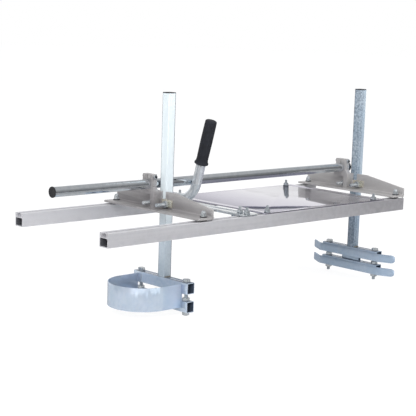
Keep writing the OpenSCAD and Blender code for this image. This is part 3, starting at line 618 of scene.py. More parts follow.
def closeTree(tree, given, result, shape):
    # Makes what was grown real and gives it its material
    solid = put(tree, "GeometryNodeRealizeInstances", {"Geometry": shape}).outputs[0]
    last = put(tree, "GeometryNodeSetMaterial", {"Geometry": solid, "Material": given["Material"]}).outputs[0]
    tree.links.new(last, result["Geometry"])


def placeOnPoints(tree, given, result, shape):
    # Puts the shape, which grows along Z, on each point along its way
    way = put(tree, "GeometryNodeInputNamedAttribute", {"Name": "way"}, data_type="FLOAT_VECTOR")
    turn = put(tree, "FunctionNodeAlignRotationToVector", {"Vector": way.outputs["Attribute"]}, axis="Z")
    points = put(tree, "GeometryNodeMeshToPoints", {"Mesh": given["Geometry"]})
    copies = {"Points": points.outputs[0], "Instance": shape, "Rotation": turn.outputs[0]}
    closeTree(tree, given, result, put(tree, "GeometryNodeInstanceOnPoints", copies).outputs[0])


def stood(tree, shape, height):
    # Lifts a shape that is centred on zero until it stands on zero
    lift = put(tree, "ShaderNodeCombineXYZ", {"Z": times(tree, height, 0.5)}).outputs[0]
    return put(tree, "GeometryNodeTransform", {"Geometry": shape, "Translation": lift}).outputs[0]


def ringedCylinder(tree, height, sides, rings):
    # Cylinder of radius 1 with level rings, standing on zero, and the place of its points
    shape = put(tree, "GeometryNodeMeshCylinder", {"Vertices": sides, "Side Segments": rings, "Radius": 1.0,
                                                   "Depth": height}).outputs["Mesh"]
    axes = put(tree, "ShaderNodeSeparateXYZ", {0: put(tree, "GeometryNodeInputPosition").outputs[0]}).outputs
    return stood(tree, shape, height), axes


def setRadius(tree, shape, axes, radius):
    spread = put(tree, "ShaderNodeCombineXYZ", {
        "X": times(tree, axes["X"], radius),
        "Y": times(tree, axes["Y"], radius),
        "Z": axes["Z"],
    }).outputs[0]
    return put(tree, "GeometryNodeSetPosition", {"Geometry": shape, "Position": spread}).outputs[0]


def hexagonTree():
    # Hexagonal head or nut with its corners turned down to a cone at both ends
    sizes = {"sides": 72, "rings": 16, "halfSide": math.radians(30), "coneFoot": 0.97}
    tree, given, result = shapeTree("hexagonHead", {"Flats": 0.013, "Height": 0.0065, "Cone": 0.6})
    shape, axes = ringedCylinder(tree, given["Height"], sizes["sides"], sizes["rings"])
    turn = calc(tree, "ARCTAN2", axes["Y"], axes["X"])
    fromCorner = calc(tree, "PINGPONG", turn, sizes["halfSide"])
    fromFlat = calc(tree, "SUBTRACT", sizes["halfSide"], fromCorner)
    half = times(tree, given["Flats"], 0.5)
    side = calc(tree, "DIVIDE", half, calc(tree, "COSINE", fromFlat))
    end = calc(tree, "MINIMUM", axes["Z"], calc(tree, "SUBTRACT", given["Height"], axes["Z"]))
    slope = calc(tree, "DIVIDE", end, given["Cone"])
    cone = calc(tree, "ADD", times(tree, half, sizes["coneFoot"]), slope)
    shape = setRadius(tree, shape, axes, calc(tree, "MINIMUM", side, cone))
    placeOnPoints(tree, given, result, shape)
    return tree


def threadTree():
    # Stud with a turned thread and a coned tip
    sizes = {"sides": 24, "ringsPerTurn": 4.0}
    inputs = {"Diameter": 0.008, "Length": 0.01, "Pitch": 0.00125, "Depth": 0.0006, "Tip": 0.0012,
              "Plain": 0.0}
    tree, given, result = shapeTree("threadedStud", inputs)
    turns = times(tree, given["Length"], sizes["ringsPerTurn"])
    rings = calc(tree, "CEIL", calc(tree, "DIVIDE", turns, given["Pitch"]))
    shape, axes = ringedCylinder(tree, given["Length"], sizes["sides"], rings)
    turn = calc(tree, "DIVIDE", calc(tree, "ARCTAN2", axes["Y"], axes["X"]), 2 * math.pi)
    phase = calc(tree, "SUBTRACT", calc(tree, "DIVIDE", axes["Z"], given["Pitch"]), turn)
    wave = times(tree, calc(tree, "PINGPONG", phase, 0.5), 2.0)
    threaded = calc(tree, "GREATER_THAN", axes["Z"], given["Plain"])
    cut = times(tree, wave, given["Depth"], threaded)
    half = times(tree, given["Diameter"], 0.5)
    tip = calc(tree, "SUBTRACT", given["Length"], axes["Z"])
    cone = calc(tree, "ADD", calc(tree, "SUBTRACT", half, given["Tip"]), tip)
    shape = setRadius(tree, shape, axes, calc(tree, "MINIMUM", calc(tree, "SUBTRACT", half, cut), cone))
    placeOnPoints(tree, given, result, shape)
    return tree


def washerTree():
    # Flat ring with rounded edges
    sizes = {"sides": 48, "edgeSteps": 2}
    inputs = {"Outer": 0.017, "Inner": 0.0086, "Height": 0.0016, "Edge": 0.0002}
    tree, given, result = shapeTree("roundedRing", inputs)
    radius = times(tree, calc(tree, "ADD", given["Outer"], given["Inner"]), 0.25)
    width = times(tree, calc(tree, "SUBTRACT", given["Outer"], given["Inner"]), 0.5)
    circle = {"Resolution": sizes["sides"], "Radius": radius}
    path = put(tree, "GeometryNodeCurvePrimitiveCircle", circle).outputs[0]
    oblong = {"Width": width, "Height": given["Height"]}
    section = put(tree, "GeometryNodeCurvePrimitiveQuadrilateral", oblong).outputs[0]
    corners = {"Curve": section, "Count": sizes["edgeSteps"], "Radius": given["Edge"]}
    section = put(tree, "GeometryNodeFilletCurve", corners, mode="POLY").outputs[0]
    washer = put(tree, "GeometryNodeCurveToMesh", {"Curve": path, "Profile Curve": section}).outputs[0]
    placeOnPoints(tree, given, result, stood(tree, washer, given["Height"]))
    return tree


def domeTree():
    # Round cap of a closed nut: a short neck and a ball, its foot on the point
    sizes = {"sides": 40, "rings": 14, "smallestSquare": 1e-8}
    tree, given, result = shapeTree("closedDome", {"Radius": 0.0061, "Height": 0.0075})
    shape, axes = ringedCylinder(tree, given["Height"], sizes["sides"], sizes["rings"])
    neck = calc(tree, "SUBTRACT", given["Height"], given["Radius"])
    up = calc(tree, "MAXIMUM", calc(tree, "SUBTRACT", axes["Z"], neck), 0.0)
    square = calc(tree, "SUBTRACT", calc(tree, "POWER", given["Radius"], 2.0), calc(tree, "POWER", up, 2.0))
    radius = calc(tree, "SQRT", calc(tree, "MAXIMUM", square, sizes["smallestSquare"]))
    placeOnPoints(tree, given, result, setRadius(tree, shape, axes, radius))
    return tree


def beadTree():
    # Weld bead along a path: rings of metal laid one on the other, thinner at both ends
    sizes = {"stepsPerRipple": 5.0, "base": 0.84, "ripple": 0.36, "wander": 0.5, "wanderScale": 420.0,
             "sides": 10, "taperFrom": 1.02, "taperPower": 6.0}
    tree, given, result = shapeTree("weldBead", {"Radius": 0.002, "Ripple": 0.0016, "Seed": 4.0})
    path = put(tree, "GeometryNodeMeshToCurve", {"Mesh": given["Geometry"]}).outputs[0]
    step = calc(tree, "DIVIDE", given["Ripple"], sizes["stepsPerRipple"])
    path = put(tree, "GeometryNodeResampleCurve", {"Curve": path, "Length": step}, mode="LENGTH").outputs[0]
    along = put(tree, "GeometryNodeSplineParameter").outputs
    phase = calc(tree, "DIVIDE", along["Length"], given["Ripple"])
    ripple = times(tree, calc(tree, "PINGPONG", phase, 0.5), sizes["ripple"])
    start = calc(tree, "ADD", along["Length"], given["Seed"])
    uneven = put(tree, "ShaderNodeTexNoise", {"W": start, "Scale": sizes["wanderScale"]},
                 noise_dimensions="1D").outputs["Fac"]
    wander = times(tree, calc(tree, "SUBTRACT", uneven, 0.5), sizes["wander"])
    fromMiddle = calc(tree, "ABSOLUTE", calc(tree, "SUBTRACT", times(tree, along["Factor"], 2.0), 1.0))
    thinned = calc(tree, "POWER", fromMiddle, sizes["taperPower"])
    taper = calc(tree, "SQRT", calc(tree, "SUBTRACT", sizes["taperFrom"], thinned))
    size = calc(tree, "ADD", calc(tree, "ADD", sizes["base"], ripple), wander)
    size = times(tree, size, taper, given["Radius"])
    circle = {"Resolution": sizes["sides"], "Radius": 1.0}
    section = put(tree, "GeometryNodeCurvePrimitiveCircle", circle).outputs[0]
    swept = {"Curve": path, "Profile Curve": section, "Scale": size, "Fill Caps": True}
    closeTree(tree, given, result, put(tree, "GeometryNodeCurveToMesh", swept).outputs[0])
    return tree


hexagonHead = hexagonTree()
threadedStud = threadTree()
roundedRing = washerTree()
closedDome = domeTree()
weldBead = beadTree()


def grown(tree, points, way=(0, 0, 1), edges=(), material=None, **sizes):
    # Runs a tree on points, or on the edges between them, and returns the plain mesh
    seed = bpy.data.meshes.new("seed")
    seed.from_pydata([tuple(p) for p in points], edges, [])
    direction = seed.attributes.new("way", "FLOAT_VECTOR", "POINT")
    direction.data.foreach_set("vector", [c for _ in points for c in way])
    piece = toObject("grown", seed)
    maker = piece.modifiers.new("maker", "NODES")
    maker.node_group = tree
    sockets = {item.name: item.identifier for item in tree.interface.items_tree if item.in_out == "INPUT"}
    for label, value in sizes.items():
        maker[sockets[label]] = value
    maker[sockets["Material"]] = material or finishes["bright_zinc"]
    return baked(piece)


# Fasteners

threads = {
    "m6": {"Diameter": 6 * mm, "Pitch": 1.0 * mm, "Depth": 0.5 * mm},
    "m8": {"Diameter": 8 * mm, "Pitch": 1.25 * mm, "Depth": 0.62 * mm},
    "m10": {"Diameter": 10 * mm, "Pitch": 1.5 * mm, "Depth": 0.8 * mm},
}
flats = {"m6": 10 * mm, "m8": 13 * mm, "m10": 17 * mm}  # across a nut
sunk = 0.5 * mm  # how far a stud starts inside its head


def middle(low, high):
    return (low + high) / 2


def hexagon(foot, size, height, way=(0, 0, 1)):
    return grown(hexagonHead, [foot], way=way, Flats=flats[size], Height=height)


def ring(foot, outer, inner, height, edge, way=(0, 0, 1)):
    return grown(roundedRing, [foot], way=way, Outer=outer, Inner=inner, Height=height, Edge=edge)


def stud(foot, size, length, way=(0, 0, 1), **more):
    return grown(threadedStud, [foot], way=way, Length=length, **threads[size], **more)


def nutsFor(node, size):
    nuts = []
    for low, high in islands(node):
        centre = middle(low, high)
        nuts.append(hexagon((centre.x, centre.y, low.z), size, high.z - low.z))
    return joined(nuts)


def ringsFor(node, sizes):
    rings = []
    for low, high in islands(node):
        centre = middle(low, high)
        foot = (centre.x, centre.y, low.z)
        rings.append(ring(foot, high.x - low.x, sizes["washerHole"], high.z - low.z, sizes["edge"]))
    return joined(rings)


def roundedBlock(low, high, width):
    # Box with broken edges
    work = bmesh.new()
    bmesh.ops.create_cube(work, size=1.0)
    spread = high - low
    for vert in work.verts:
        vert.co = Vector([low[i] + (vert.co[i] + 0.5) * spread[i] for i in range(3)])
    bmesh.ops.bevel(work, geom=list(work.edges), offset=width, segments=2, profile=0.5, affect="EDGES",
                    clamp_overlap=True)
    return toMesh(work, "block")


def slotBolt(low, high):
    # Square head in the rail's channel and a threaded stud above it
    sizes = {"head": 5.4 * mm, "edge": 0.5 * mm}
    headTop = low.z + sizes["head"]
    centre = middle(low, high)
    head = roundedBlock(low, Vector((high.x, high.y, headTop)), sizes["edge"])
    foot = (centre.x, centre.y, headTop - sunk)
    return [head, stud(foot, "m8", high.z - foot[2])]


def slotBoltsFor(node):
    parts = []
    for low, high in islands(node):
        parts += slotBolt(low, high)
    return joined(parts)


def makeDeckFasteners():
    sizes = {"washerHole": 8.6 * mm, "edge": 0.3 * mm}
    finished("deckNuts", nutsFor("deck_nuts", "m8"), ["deck_nuts"])
    finished("deckSlotBolts", slotBoltsFor("deck_slot_bolts"), ["deck_slot_bolts"])
    finished("deckWashers", ringsFor("deck_washers", sizes), ["deck_washers"])


def makeHandleFasteners():
    # Two slot bolts and one with a hexagonal head, each with a washer and a nut
    sizes = {"washerHole": 8.6 * mm, "edge": 0.3 * mm, "washer": 1.6 * mm, "washerWidth": 16 * mm,
             "nut": 6.5 * mm, "head": 5.3 * mm, "squareWithin": 0.2 * mm}
    tops, bolts = [], []
    for low, high in islands("handle_nuts"):
        centre = middle(low, high)
        foot = (centre.x, centre.y, low.z)
        tops.append(ring(foot, sizes["washerWidth"], sizes["washerHole"], sizes["washer"], sizes["edge"]))
        tops.append(hexagon((centre.x, centre.y, low.z + sizes["washer"]), "m8", sizes["nut"]))
    finished("handleNuts", joined(tops), ["handle_nuts"])
    for low, high in islands("handle_slot_bolts"):
        if abs((high.x - low.x) - (high.y - low.y)) < sizes["squareWithin"]:
            bolts += slotBolt(low, high)
            continue
        centre = middle(low, high)
        head = sizes["head"]
        bolts.append(hexagon((centre.x, centre.y, low.z), "m8", head))
        bolts.append(stud((centre.x, centre.y, low.z + head - sunk), "m8", high.z - low.z - head + sunk))
    finished("handleBolts", joined(bolts), ["handle_slot_bolts"])


def makeBracketFasteners(end):
    sizes = {"washerHole": 8.6 * mm, "edge": 0.35 * mm, "hexShare": 0.5, "dome": 6.1 * mm}
    domes = []
    for low, high in islands(f"{end}_dome_nuts"):
        centre = middle(low, high)
        hexHeight = (high.z - low.z) * sizes["hexShare"]
        domes.append(hexagon((centre.x, centre.y, low.z), "m8", hexHeight))
        waist = (centre.x, centre.y, low.z + hexHeight - sunk)
        domes.append(grown(closedDome, [waist], Radius=sizes["dome"], Height=high.z - waist[2]))
    finished(f"{end}DomeNuts", joined(domes), [f"{end}_dome_nuts"], sharp=30)
    finished(f"{end}SlotBolts", slotBoltsFor(f"{end}_slot_bolts"), [f"{end}_slot_bolts"])
    finished(f"{end}Washers", ringsFor(f"{end}_washers", sizes), [f"{end}_washers"])
    finished(f"{end}Spacers", ringsFor(f"{end}_spacers", sizes), [f"{end}_spacers"])


def makeClampFasteners(end):
    # Bolts along the rails through the post clamp. The rear nut stands on a spacer ring
    sizes = {"head": 6.4 * mm, "nut": 8.4 * mm, "tip": 1.6 * mm, "plain": 38 * mm,
             "ringWidth": 16 * mm, "ringHole": 10.6 * mm, "ringEdge": 0.35 * mm, "thinnestRing": 0.5 * mm}
    east, west = (1, 0, 0), (-1, 0, 0)
    bolts, nuts = [], []
    for low, high in islands(f"{end}_clamp_bolts"):
        centre = middle(low, high)
        head = (high.x - sizes["head"], centre.y, centre.z)
        bolts.append(hexagon(head, "m10", sizes["head"], way=east))
        foot = (head[0] + sunk, centre.y, centre.z)
        bolts.append(stud(foot, "m10", foot[0] - low.x, way=west, Tip=sizes["tip"], Plain=sizes["plain"]))
    finished(f"{end}ClampBolts", joined(bolts), [f"{end}_clamp_bolts"])
    for low, high in islands(f"{end}_clamp_nuts"):
        centre = middle(low, high)
        nutHigh = low.x + sizes["nut"]
        nuts.append(hexagon((nutHigh, centre.y, centre.z), "m10", sizes["nut"], way=west))
        if high.x - nutHigh > sizes["thinnestRing"]:
            nuts.append(ring((high.x, centre.y, centre.z), sizes["ringWidth"], sizes["ringHole"],
                             high.x - nutHigh, sizes["ringEdge"], way=west))
    finished(f"{end}ClampNuts", joined(nuts), [f"{end}_clamp_nuts"])


def makePinchFasteners(end):
    # The bolt and nut that close the collar round the thrust tube
    sizes = {"head": 4 * mm, "tip": 0.9 * mm}
    north, south = (0, 1, 0), (0, -1, 0)
    low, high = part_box(f"{end}_pinch_bolt")
    centre = middle(low, high)
    headFace = (centre.x, high.y - sizes["head"], centre.z)
    foot = (centre.x, headFace[1] + sunk, centre.z)
    bolt = [hexagon(headFace, "m6", sizes["head"], way=north),
            stud(foot, "m6", foot[1] - low.y, way=south, Tip=sizes["tip"])]
    finished(f"{end}PinchBolt", joined(bolt), [f"{end}_pinch_bolt"])
    low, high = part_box(f"{end}_pinch_nut")
    centre = middle(low, high)
    nut = hexagon((centre.x, high.y, centre.z), "m6", high.y - low.y, way=south)
    finished(f"{end}PinchNut", nut, [f"{end}_pinch_nut"])


def makeJawFasteners(end):
    sizes = {"head": 6.4 * mm, "washer": 1.6 * mm, "washerHole": 10.2 * mm, "edge": 0.3 * mm,
             "plain": 30 * mm}
    bolts = []
    for low, high in islands(f"{end}_jaw_bolts"):
        centre = middle(low, high)
        headZ = high.z - sizes["head"]
        bolts.append(hexagon((centre.x, centre.y, headZ), "m10", sizes["head"]))
        bolts.append(ring((centre.x, centre.y, headZ - sizes["washer"]), high.x - low.x, sizes["washerHole"],
                          sizes["washer"], sizes["edge"]))
        foot = (centre.x, centre.y, headZ + sunk)
        bolts.append(stud(foot, "m10", foot[2] - low.z, way=(0, 0, -1), Plain=sizes["plain"]))
    finished(f"{end}JawBolts", joined(bolts), [f"{end}_jaw_bolts"])
    finished(f"{end}JawNuts", nutsFor(f"{end}_jaw_nuts", "m10"), [f"{end}_jaw_nuts"])


makeDeckFasteners()
makeHandleFasteners()
for end in ("nose", "saw"):
    makeBracketFasteners(end)
    makeClampFasteners(end)
    makePinchFasteners(end)
    makeJawFasteners(end)
print("fasteners made")


# Frames, posts and bands: the CAD shapes with their edges broken

def makeSoftCopies():
    edges = {  # in millimetres
        "front_rail": 0.35, "rear_rail": 0.35, "deck_plate": 0.5, "handle_base": 0.6, "handle_stop": 0.5,
        "bracket": 0.5, "post_clamp": 0.7, "slot_cover": 0.5, "post": 0.3, "post_cap": 0.7, "upper_jaw": 0.3,
        "lower_jaw": 0.3, "jaw_pad": 0.3, "nose_guard": 0.5, "saw_upper_skid": 0.6, "saw_lower_skid": 0.6,
    }
    hollows = {  # how much of the height is hollow
        "post": 1.0, "upper_jaw": 1.0, "lower_jaw": 1.0, "jaw_pad": 1.0, "front_rail": 0.6, "rear_rail": 0.6,
    }
    for kind, width in edges.items():
        names = [kind] if kind in cadNodes else [f"nose_{kind}", f"saw_{kind}"]
        for node in names:
            words = node.split("_")
            name = words[0] + "".join(word.capitalize() for word in words[1:])
            mesh = softened(node, width)
            low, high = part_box(node)
            if kind in hollows:
                markInsideShade(mesh, low, high, hollows[kind])
            if kind == "nose_guard":
                markGuardInsideShade(mesh, low, high)
            finished(name, mesh, [node], sharp=30)


makeSoftCopies()
print("frames, posts and bands made")


# Round pieces

def softRim(outer, soft):
    # Outline of a disc's rim, rounded from its face to its side
    angles = [math.pi / 2 * i / 4 for i in range(5)]
    return [(outer - soft + soft * math.sin(a), soft - soft * math.cos(a)) for a in angles]


def makeThrustTube():
    sizes = {"wall": 2 * mm, "edge": 0.4 * mm, "sides": 96}
    low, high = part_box("thrust_tube")
    centre = middle(low, high)
    outer = (high.z - low.z) / 2
    inner = outer - sizes["wall"]
    length = high.x - low.x
    edge = sizes["edge"]
    outline = [(outer - edge, 0), (outer, edge), (outer, length - edge), (outer - edge, length),
               (inner, length), (inner, 0)]
    tube = turned(outline, Vector((low.x, centre.y, centre.z)), (1, 0, 0), sizes["sides"])
    finished("thrustTube", tube, ["thrust_tube"])


def makeTubeCaps():
    sizes = {"lip": 3 * mm, "plug": 14 * mm, "round": 0.9 * mm, "dish": 0.5 * mm, "dishShare": 0.72,
             "rimShare": 0.8, "wall": 2 * mm, "fit": 0.1 * mm, "chamfer": 1 * mm, "sides": 64}
    lip, dish, chamfer = sizes["lip"], sizes["dish"], sizes["chamfer"]
    caps = []
    tubeLow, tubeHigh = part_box("thrust_tube")
    for low, high in islands("thrust_tube_caps"):
        centre = middle(low, high)
        outer = (high.z - low.z) / 2
        plug = (tubeHigh.z - tubeLow.z) / 2 - sizes["wall"] - sizes["fit"]
        end = lip + sizes["plug"]
        outline = [(0, dish), (outer * sizes["dishShare"], dish), (outer * sizes["rimShare"], 0)]
        outline += softRim(outer, sizes["round"])
        outline += [(outer, lip), (plug, lip), (plug, end - chamfer), (plug - chamfer, end), (0, end)]
        onNose = centre.x < 0
        foot = Vector((low.x if onNose else high.x, centre.y, centre.z))
        caps.append(turned(outline, foot, (1 if onNose else -1, 0, 0), sizes["sides"]))
    finished("thrustTubeCaps", joined(caps), ["thrust_tube_caps"], sharp=50)


def makeHandleTube():
    mesh = toMesh(mergedCopy("handle_tube"), "handleTube")
    finished("handleTube", mesh, ["handle_tube"], handleFinish, sharp=30)


def makeEndPlug():
    sizes = {"lip": 2.5 * mm, "round": 1.2 * mm, "plug": 8 * mm, "wall": 1.9 * mm, "sides": 48}
    low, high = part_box("handle_end_plug")
    centre = middle(low, high)
    outer = (high.x - low.x) / 2
    inner = outer - sizes["wall"]
    lip, end = sizes["lip"], sizes["lip"] + sizes["plug"]
    outline = [(0, 0)] + softRim(outer, sizes["round"]) + [(outer, lip), (inner, lip), (inner, end), (0, end)]
    foot = Vector((centre.x, high.y, centre.z))
    plug = turned(outline, foot, (0, -1, 0), sizes["sides"])
    finished("handleEndPlug", plug, ["handle_end_plug"], sharp=50)


def makeGrip():
    # The outline runs from the mouth over the flange, the ribs and the closed end, and back inside
    sizes = {"lean": math.radians(16), "length": 119 * mm, "radius": 15.75 * mm, "flange": 18.5 * mm,
             "bore": 12.8 * mm, "ribPitch": 3 * mm, "ribHeight": 0.45 * mm, "ribsFrom": 20 * mm,
             "ribsTo": 111 * mm, "belly": 0.35 * mm, "shoulder": 0.5 * mm, "lastStep": 0.6 * mm,
             "endRound": 4 * mm, "endSteps": 8, "endWall": 4 * mm, "sides": 64}
    flangeEdge = [(-1.2, 0), (-0.3, 0.5), (0, 1.6), (0, 3.4), (-0.5, 4.6), (-1.6, 5.6)]  # from its radius, up
    collar = [(0.2, 9), (-0.5, 13), (-0.5, 17)]  # from the grip's radius, up
    rib = [(0, 0), (1, 0.7), (1, 1.9), (0, 2.5)]  # share of its height, up
    low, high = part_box("handle_grip")
    lean, radius, flange = sizes["lean"], sizes["radius"], sizes["flange"]
    way = Vector((0, -math.sin(lean), math.cos(lean)))
    foot = Vector(((low.x + high.x) / 2, high.y - flange * math.cos(lean), low.z + flange * math.sin(lean)))
    outline = [(sizes["bore"], 0)]
    outline += [(flange + out * mm, up * mm) for out, up in flangeEdge]
    outline += [(radius + out * mm, up * mm) for out, up in collar]
    at = sizes["ribsFrom"]
    while at < sizes["ribsTo"] - sizes["ribPitch"]:
        along = (at - sizes["ribsFrom"]) / (sizes["ribsTo"] - sizes["ribsFrom"])
        base = radius - sizes["ribHeight"] - sizes["belly"] + sizes["belly"] * math.sin(math.pi * along)
        outline += [(base + share * sizes["ribHeight"], at + up * mm) for share, up in rib]
        at += sizes["ribPitch"]
    end, corner = sizes["length"], sizes["endRound"]
    shoulder = radius - sizes["shoulder"]
    outline += [(shoulder, end - corner - sizes["lastStep"])]
    for i in range(sizes["endSteps"] + 1):
        angle = math.pi / 2 * i / sizes["endSteps"]
        reach = shoulder - corner + corner * math.cos(angle)
        outline.append((reach, end - corner + corner * math.sin(angle)))
    outline += [(0, end), (0, end - sizes["endWall"]), (sizes["bore"], end - sizes["endWall"])]
    finished("handleGrip", turned(outline, foot, way, sizes["sides"]), ["handle_grip"], sharp=50)


makeThrustTube()
makeTubeCaps()
makeHandleTube()
makeEndPlug()
makeGrip()
print("round pieces made")


# Welds

def straightPath(start, end, steps):
    return [Vector(start).lerp(Vector(end), i / steps) for i in range(steps + 1)]


def beads(name, paths, body, radius, ripple, seed):
    # One bead along each path, all in one piece
    points, edges = [], []
    for path in paths:
        edges += [(len(points) + i, len(points) + i + 1) for i in range(len(path) - 1)]
        points += path
    mesh = grown(weldBead, points, edges=edges, material=weldFinish, Radius=radius, Ripple=ripple, Seed=seed)
    finished(name, mesh, [], material=weldFinish, sharp=60, slot="bright_zinc", body=body)


def makePostWeld(end, seed):
    # Beads at the front and rear of a post's foot
    sizes = {"bead": 2.1 * mm, "ripple": 1.7 * mm, "inset": 1.5 * mm, "off": 0.5 * mm, "steps": 8}
    low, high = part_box(f"{end}_post")
    left, right, z = low.x + sizes["inset"], high.x - sizes["inset"], low.z + sizes["off"]
    paths = []
    for y in (low.y - sizes["off"], high.y + sizes["off"]):
        paths.append(straightPath((left, y, z), (right, y, z), sizes["steps"]))
    beads(f"{end}PostWeld", paths, f"{end}_post", sizes["bead"], sizes["ripple"], seed)


def makeHandleWeld():
    # Beads on both sides of the tube where it lies on the base bar
    sizes = {"bead": 2.8 * mm, "ripple": 2.2 * mm, "side": 7.4 * mm, "from": 56 * mm, "to": 2 * mm,
             "lift": 1.2 * mm, "steps": 12, "seed": 11.0}
    tubeLow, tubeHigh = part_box("handle_tube")
    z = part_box("handle_base")[1].z + sizes["lift"]
    centre = (tubeLow.x + tubeHigh.x) / 2
    paths = []
    for side in (-1, 1):
        x = centre + side * sizes["side"]
        start, end = tubeHigh.y - sizes["from"], tubeHigh.y - sizes["to"]
        paths.append(straightPath((x, start, z), (x, end, z), sizes["steps"]))
    beads("handleWeld", paths, "handle", sizes["bead"], sizes["ripple"], sizes["seed"])


makePostWeld("nose", 2.0)
makePostWeld("saw", 7.0)
makeHandleWeld()
print("welds made")


# Studio. A band is where a change of brightness starts and ends, a way is a direction east and north

studio = {
    "cameraPlace": (-2.1698, -2.1941, 0.7167), "yaw": 43.6207, "pitch": 8.6965, "roll": 1.9086,
    "lens": 100.87, "sensor": 36, "reach": 60,
    "floorSize": 60.0, "floorColour": (0.86, 0.86, 0.87, 1), "floorMottle": (0.8, 0.8, 0.82, 1),
    "mottleScale": 3.0, "mottleShare": 0.06, "floorWhite": 0.9, "floorShade": 0.2,
    "floorInMetalNear": 0.14, "floorInMetalFar": 0.5, "floorBand": (-0.9, -0.1),
    "fillLight": (0.6, 0.605, 0.62, 1), "nearWall": 0.3, "sideWall": 0.17, "farWall": 0.97,
    "nearBand": (-0.3, 0.2), "farBand": (0.2, 0.75), "frontPanel": 0.75, "frontBand": (-0.86, -0.95),
    "westPanel": 0.85, "westWay": (-0.85, -0.52), "westBand": (0.86, 0.96),
    "ceiling": 0.45, "ceilingBand": (0.2, 0.65), "lampAim": (0, 0, 0.2),
    "lamps": [  # name, place, width, power
        ("key", (-3.2, -2.4, 3.2), 3.2, 170),
        ("side", (2.6, -3.6, 2.4), 2.8, 85),
        ("back", (0.6, 3.6, 3.4), 3.2, 30),
    ],
}
white, black = (1, 1, 1, 1), (0, 0, 0, 1)


def grey(tree, value):
    return put(tree, "ShaderNodeCombineColor", {"Red": value, "Green": value, "Blue": value}).outputs[0]


def makeFloor():
    # White to the camera, with a faint shade under the mill. Shiny metal sees it darker at the front
    half = studio["floorSize"] / 2
    mesh = bpy.data.meshes.new("floor")
    corners = [(-half, -half, 0), (half, -half, 0), (half, half, 0), (-half, half, 0)]
    mesh.from_pydata(corners, [], [(0, 1, 2, 3)])
    material = bpy.data.materials.new("paleFloor")
    material.use_nodes = True
    tree = material.node_tree
    tree.nodes.clear()
    place = objectPlace(tree)
    mottle = times(tree, noise(tree, place, studio["mottleScale"])["Fac"], studio["mottleShare"])
    colour = mixColour(tree, mottle, studio["floorColour"], studio["floorMottle"])
    paint = put(tree, "ShaderNodeBsdfDiffuse", {"Color": colour}).outputs[0]
    thin = mixColour(tree, studio["floorShade"], black, colour)
    shaded = put(tree, "ShaderNodeBsdfDiffuse", {"Color": thin}).outputs[0]
    glow = put(tree, "ShaderNodeEmission", {"Color": white, "Strength": studio["floorWhite"]}).outputs[0]
    seen = put(tree, "ShaderNodeAddShader", {0: shaded, 1: glow}).outputs[0]
    back = put(tree, "ShaderNodeSeparateXYZ", {0: place}).outputs["Y"]
    inMetal = remap(tree, back, *studio["floorBand"], studio["floorInMetalNear"], studio["floorInMetalFar"])
    mirrored = put(tree, "ShaderNodeEmission", {"Color": grey(tree, inMetal)}).outputs[0]
    path = put(tree, "ShaderNodeLightPath").outputs
    mixed = put(tree, "ShaderNodeMixShader", {0: path["Is Glossy Ray"], 1: paint, 2: mirrored}).outputs[0]
    mixed = put(tree, "ShaderNodeMixShader", {0: path["Is Camera Ray"], 1: mixed, 2: seen}).outputs[0]
    put(tree, "ShaderNodeOutputMaterial", {"Surface": mixed})
    mesh.materials.append(material)
    toObject("floor", mesh)


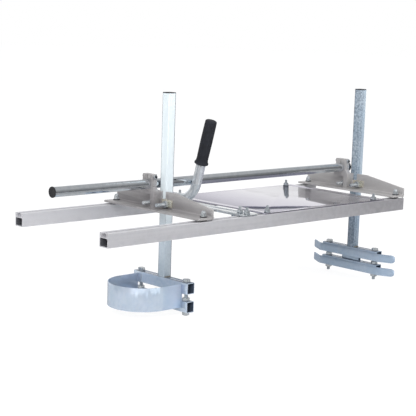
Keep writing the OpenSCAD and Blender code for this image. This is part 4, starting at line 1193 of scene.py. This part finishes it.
def makeWorld():
    # White behind the object. Shiny metal sees a room: bright far wall, dark side walls, a bright
    # panel in the front and in the west, and a pale ceiling
    world = bpy.data.worlds.new("studio")
    bpy.context.scene.world = world
    world.use_nodes = True
    tree = world.node_tree
    tree.nodes.clear()
    way = put(tree, "ShaderNodeTexCoord").outputs["Generated"]
    axes = put(tree, "ShaderNodeSeparateXYZ", {0: way}).outputs
    smallest, diagonal = 0.001, 0.7071
    squares = [calc(tree, "POWER", axes[axis], 2.0) for axis in ("X", "Y")]
    level = calc(tree, "MAXIMUM", calc(tree, "SQRT", calc(tree, "ADD", *squares)), smallest)
    east = calc(tree, "DIVIDE", axes["X"], level)
    north = calc(tree, "DIVIDE", axes["Y"], level)
    away = times(tree, calc(tree, "ADD", east, north), diagonal)
    near = remap(tree, away, *studio["nearBand"], studio["nearWall"], studio["sideWall"])
    far = remap(tree, away, *studio["farBand"], studio["sideWall"], studio["farWall"])
    walls = calc(tree, "MAXIMUM", near, far)
    front = remap(tree, north, *studio["frontBand"])
    walls = calc(tree, "ADD", walls, times(tree, front, studio["frontPanel"]))
    westEast, westNorth = studio["westWay"]
    west = calc(tree, "ADD", times(tree, east, westEast), times(tree, north, westNorth))
    west = remap(tree, west, *studio["westBand"])
    walls = calc(tree, "ADD", walls, times(tree, west, studio["westPanel"]))
    low, high = studio["ceilingBand"]
    rise = put(tree, "ShaderNodeMapRange", {"Value": axes["Z"], "From Min": low, "From Max": high},
               interpolation_type="SMOOTHSTEP").outputs["Result"]
    room = mixColour(tree, rise, grey(tree, walls), grey(tree, studio["ceiling"]))
    path = put(tree, "ShaderNodeLightPath").outputs
    colour = mixColour(tree, path["Is Glossy Ray"], studio["fillLight"], room)
    colour = mixColour(tree, path["Is Camera Ray"], colour, white)
    background = put(tree, "ShaderNodeBackground", {"Color": colour, "Strength": 1.0}).outputs[0]
    put(tree, "ShaderNodeOutputWorld", {"Surface": background})


def makeLamps():
    for name, place, size, power in studio["lamps"]:
        lamp = bpy.data.lights.new(name, "AREA")
        lamp.shape = "DISK"
        lamp.size = size
        lamp.energy = power
        holder = bpy.data.objects.new(name, lamp)
        bpy.context.scene.collection.objects.link(holder)
        aim = Vector(studio["lampAim"]) - Vector(place)
        holder.matrix_world = Matrix.Translation(place) @ aim.to_track_quat("-Z", "Y").to_matrix().to_4x4()
        holder.visible_glossy = False


def makeCamera():
    yaw, pitch, roll = (math.radians(studio[key]) for key in ("yaw", "pitch", "roll"))
    look = Vector((math.sin(yaw) * math.cos(pitch), math.cos(yaw) * math.cos(pitch), -math.sin(pitch)))
    right = Vector((math.cos(yaw), -math.sin(yaw), 0))
    up = right.cross(look)
    tiltedRight = math.cos(roll) * right + math.sin(roll) * up
    tiltedUp = -math.sin(roll) * right + math.cos(roll) * up
    data = bpy.data.cameras.new("camera")
    data.sensor_fit = "HORIZONTAL"
    data.sensor_width = studio["sensor"]
    data.lens = studio["lens"]
    data.clip_end = studio["reach"]
    camera = bpy.data.objects.new("camera", data)
    bpy.context.scene.collection.objects.link(camera)
    turn = Matrix((tiltedRight, tiltedUp, -look)).transposed().to_4x4()
    camera.matrix_world = Matrix.Translation(studio["cameraPlace"]) @ turn
    bpy.context.scene.camera = camera


makeFloor()
makeWorld()
makeLamps()
makeCamera()
bpy.context.scene.view_settings.view_transform = "Standard"
print("studio made")
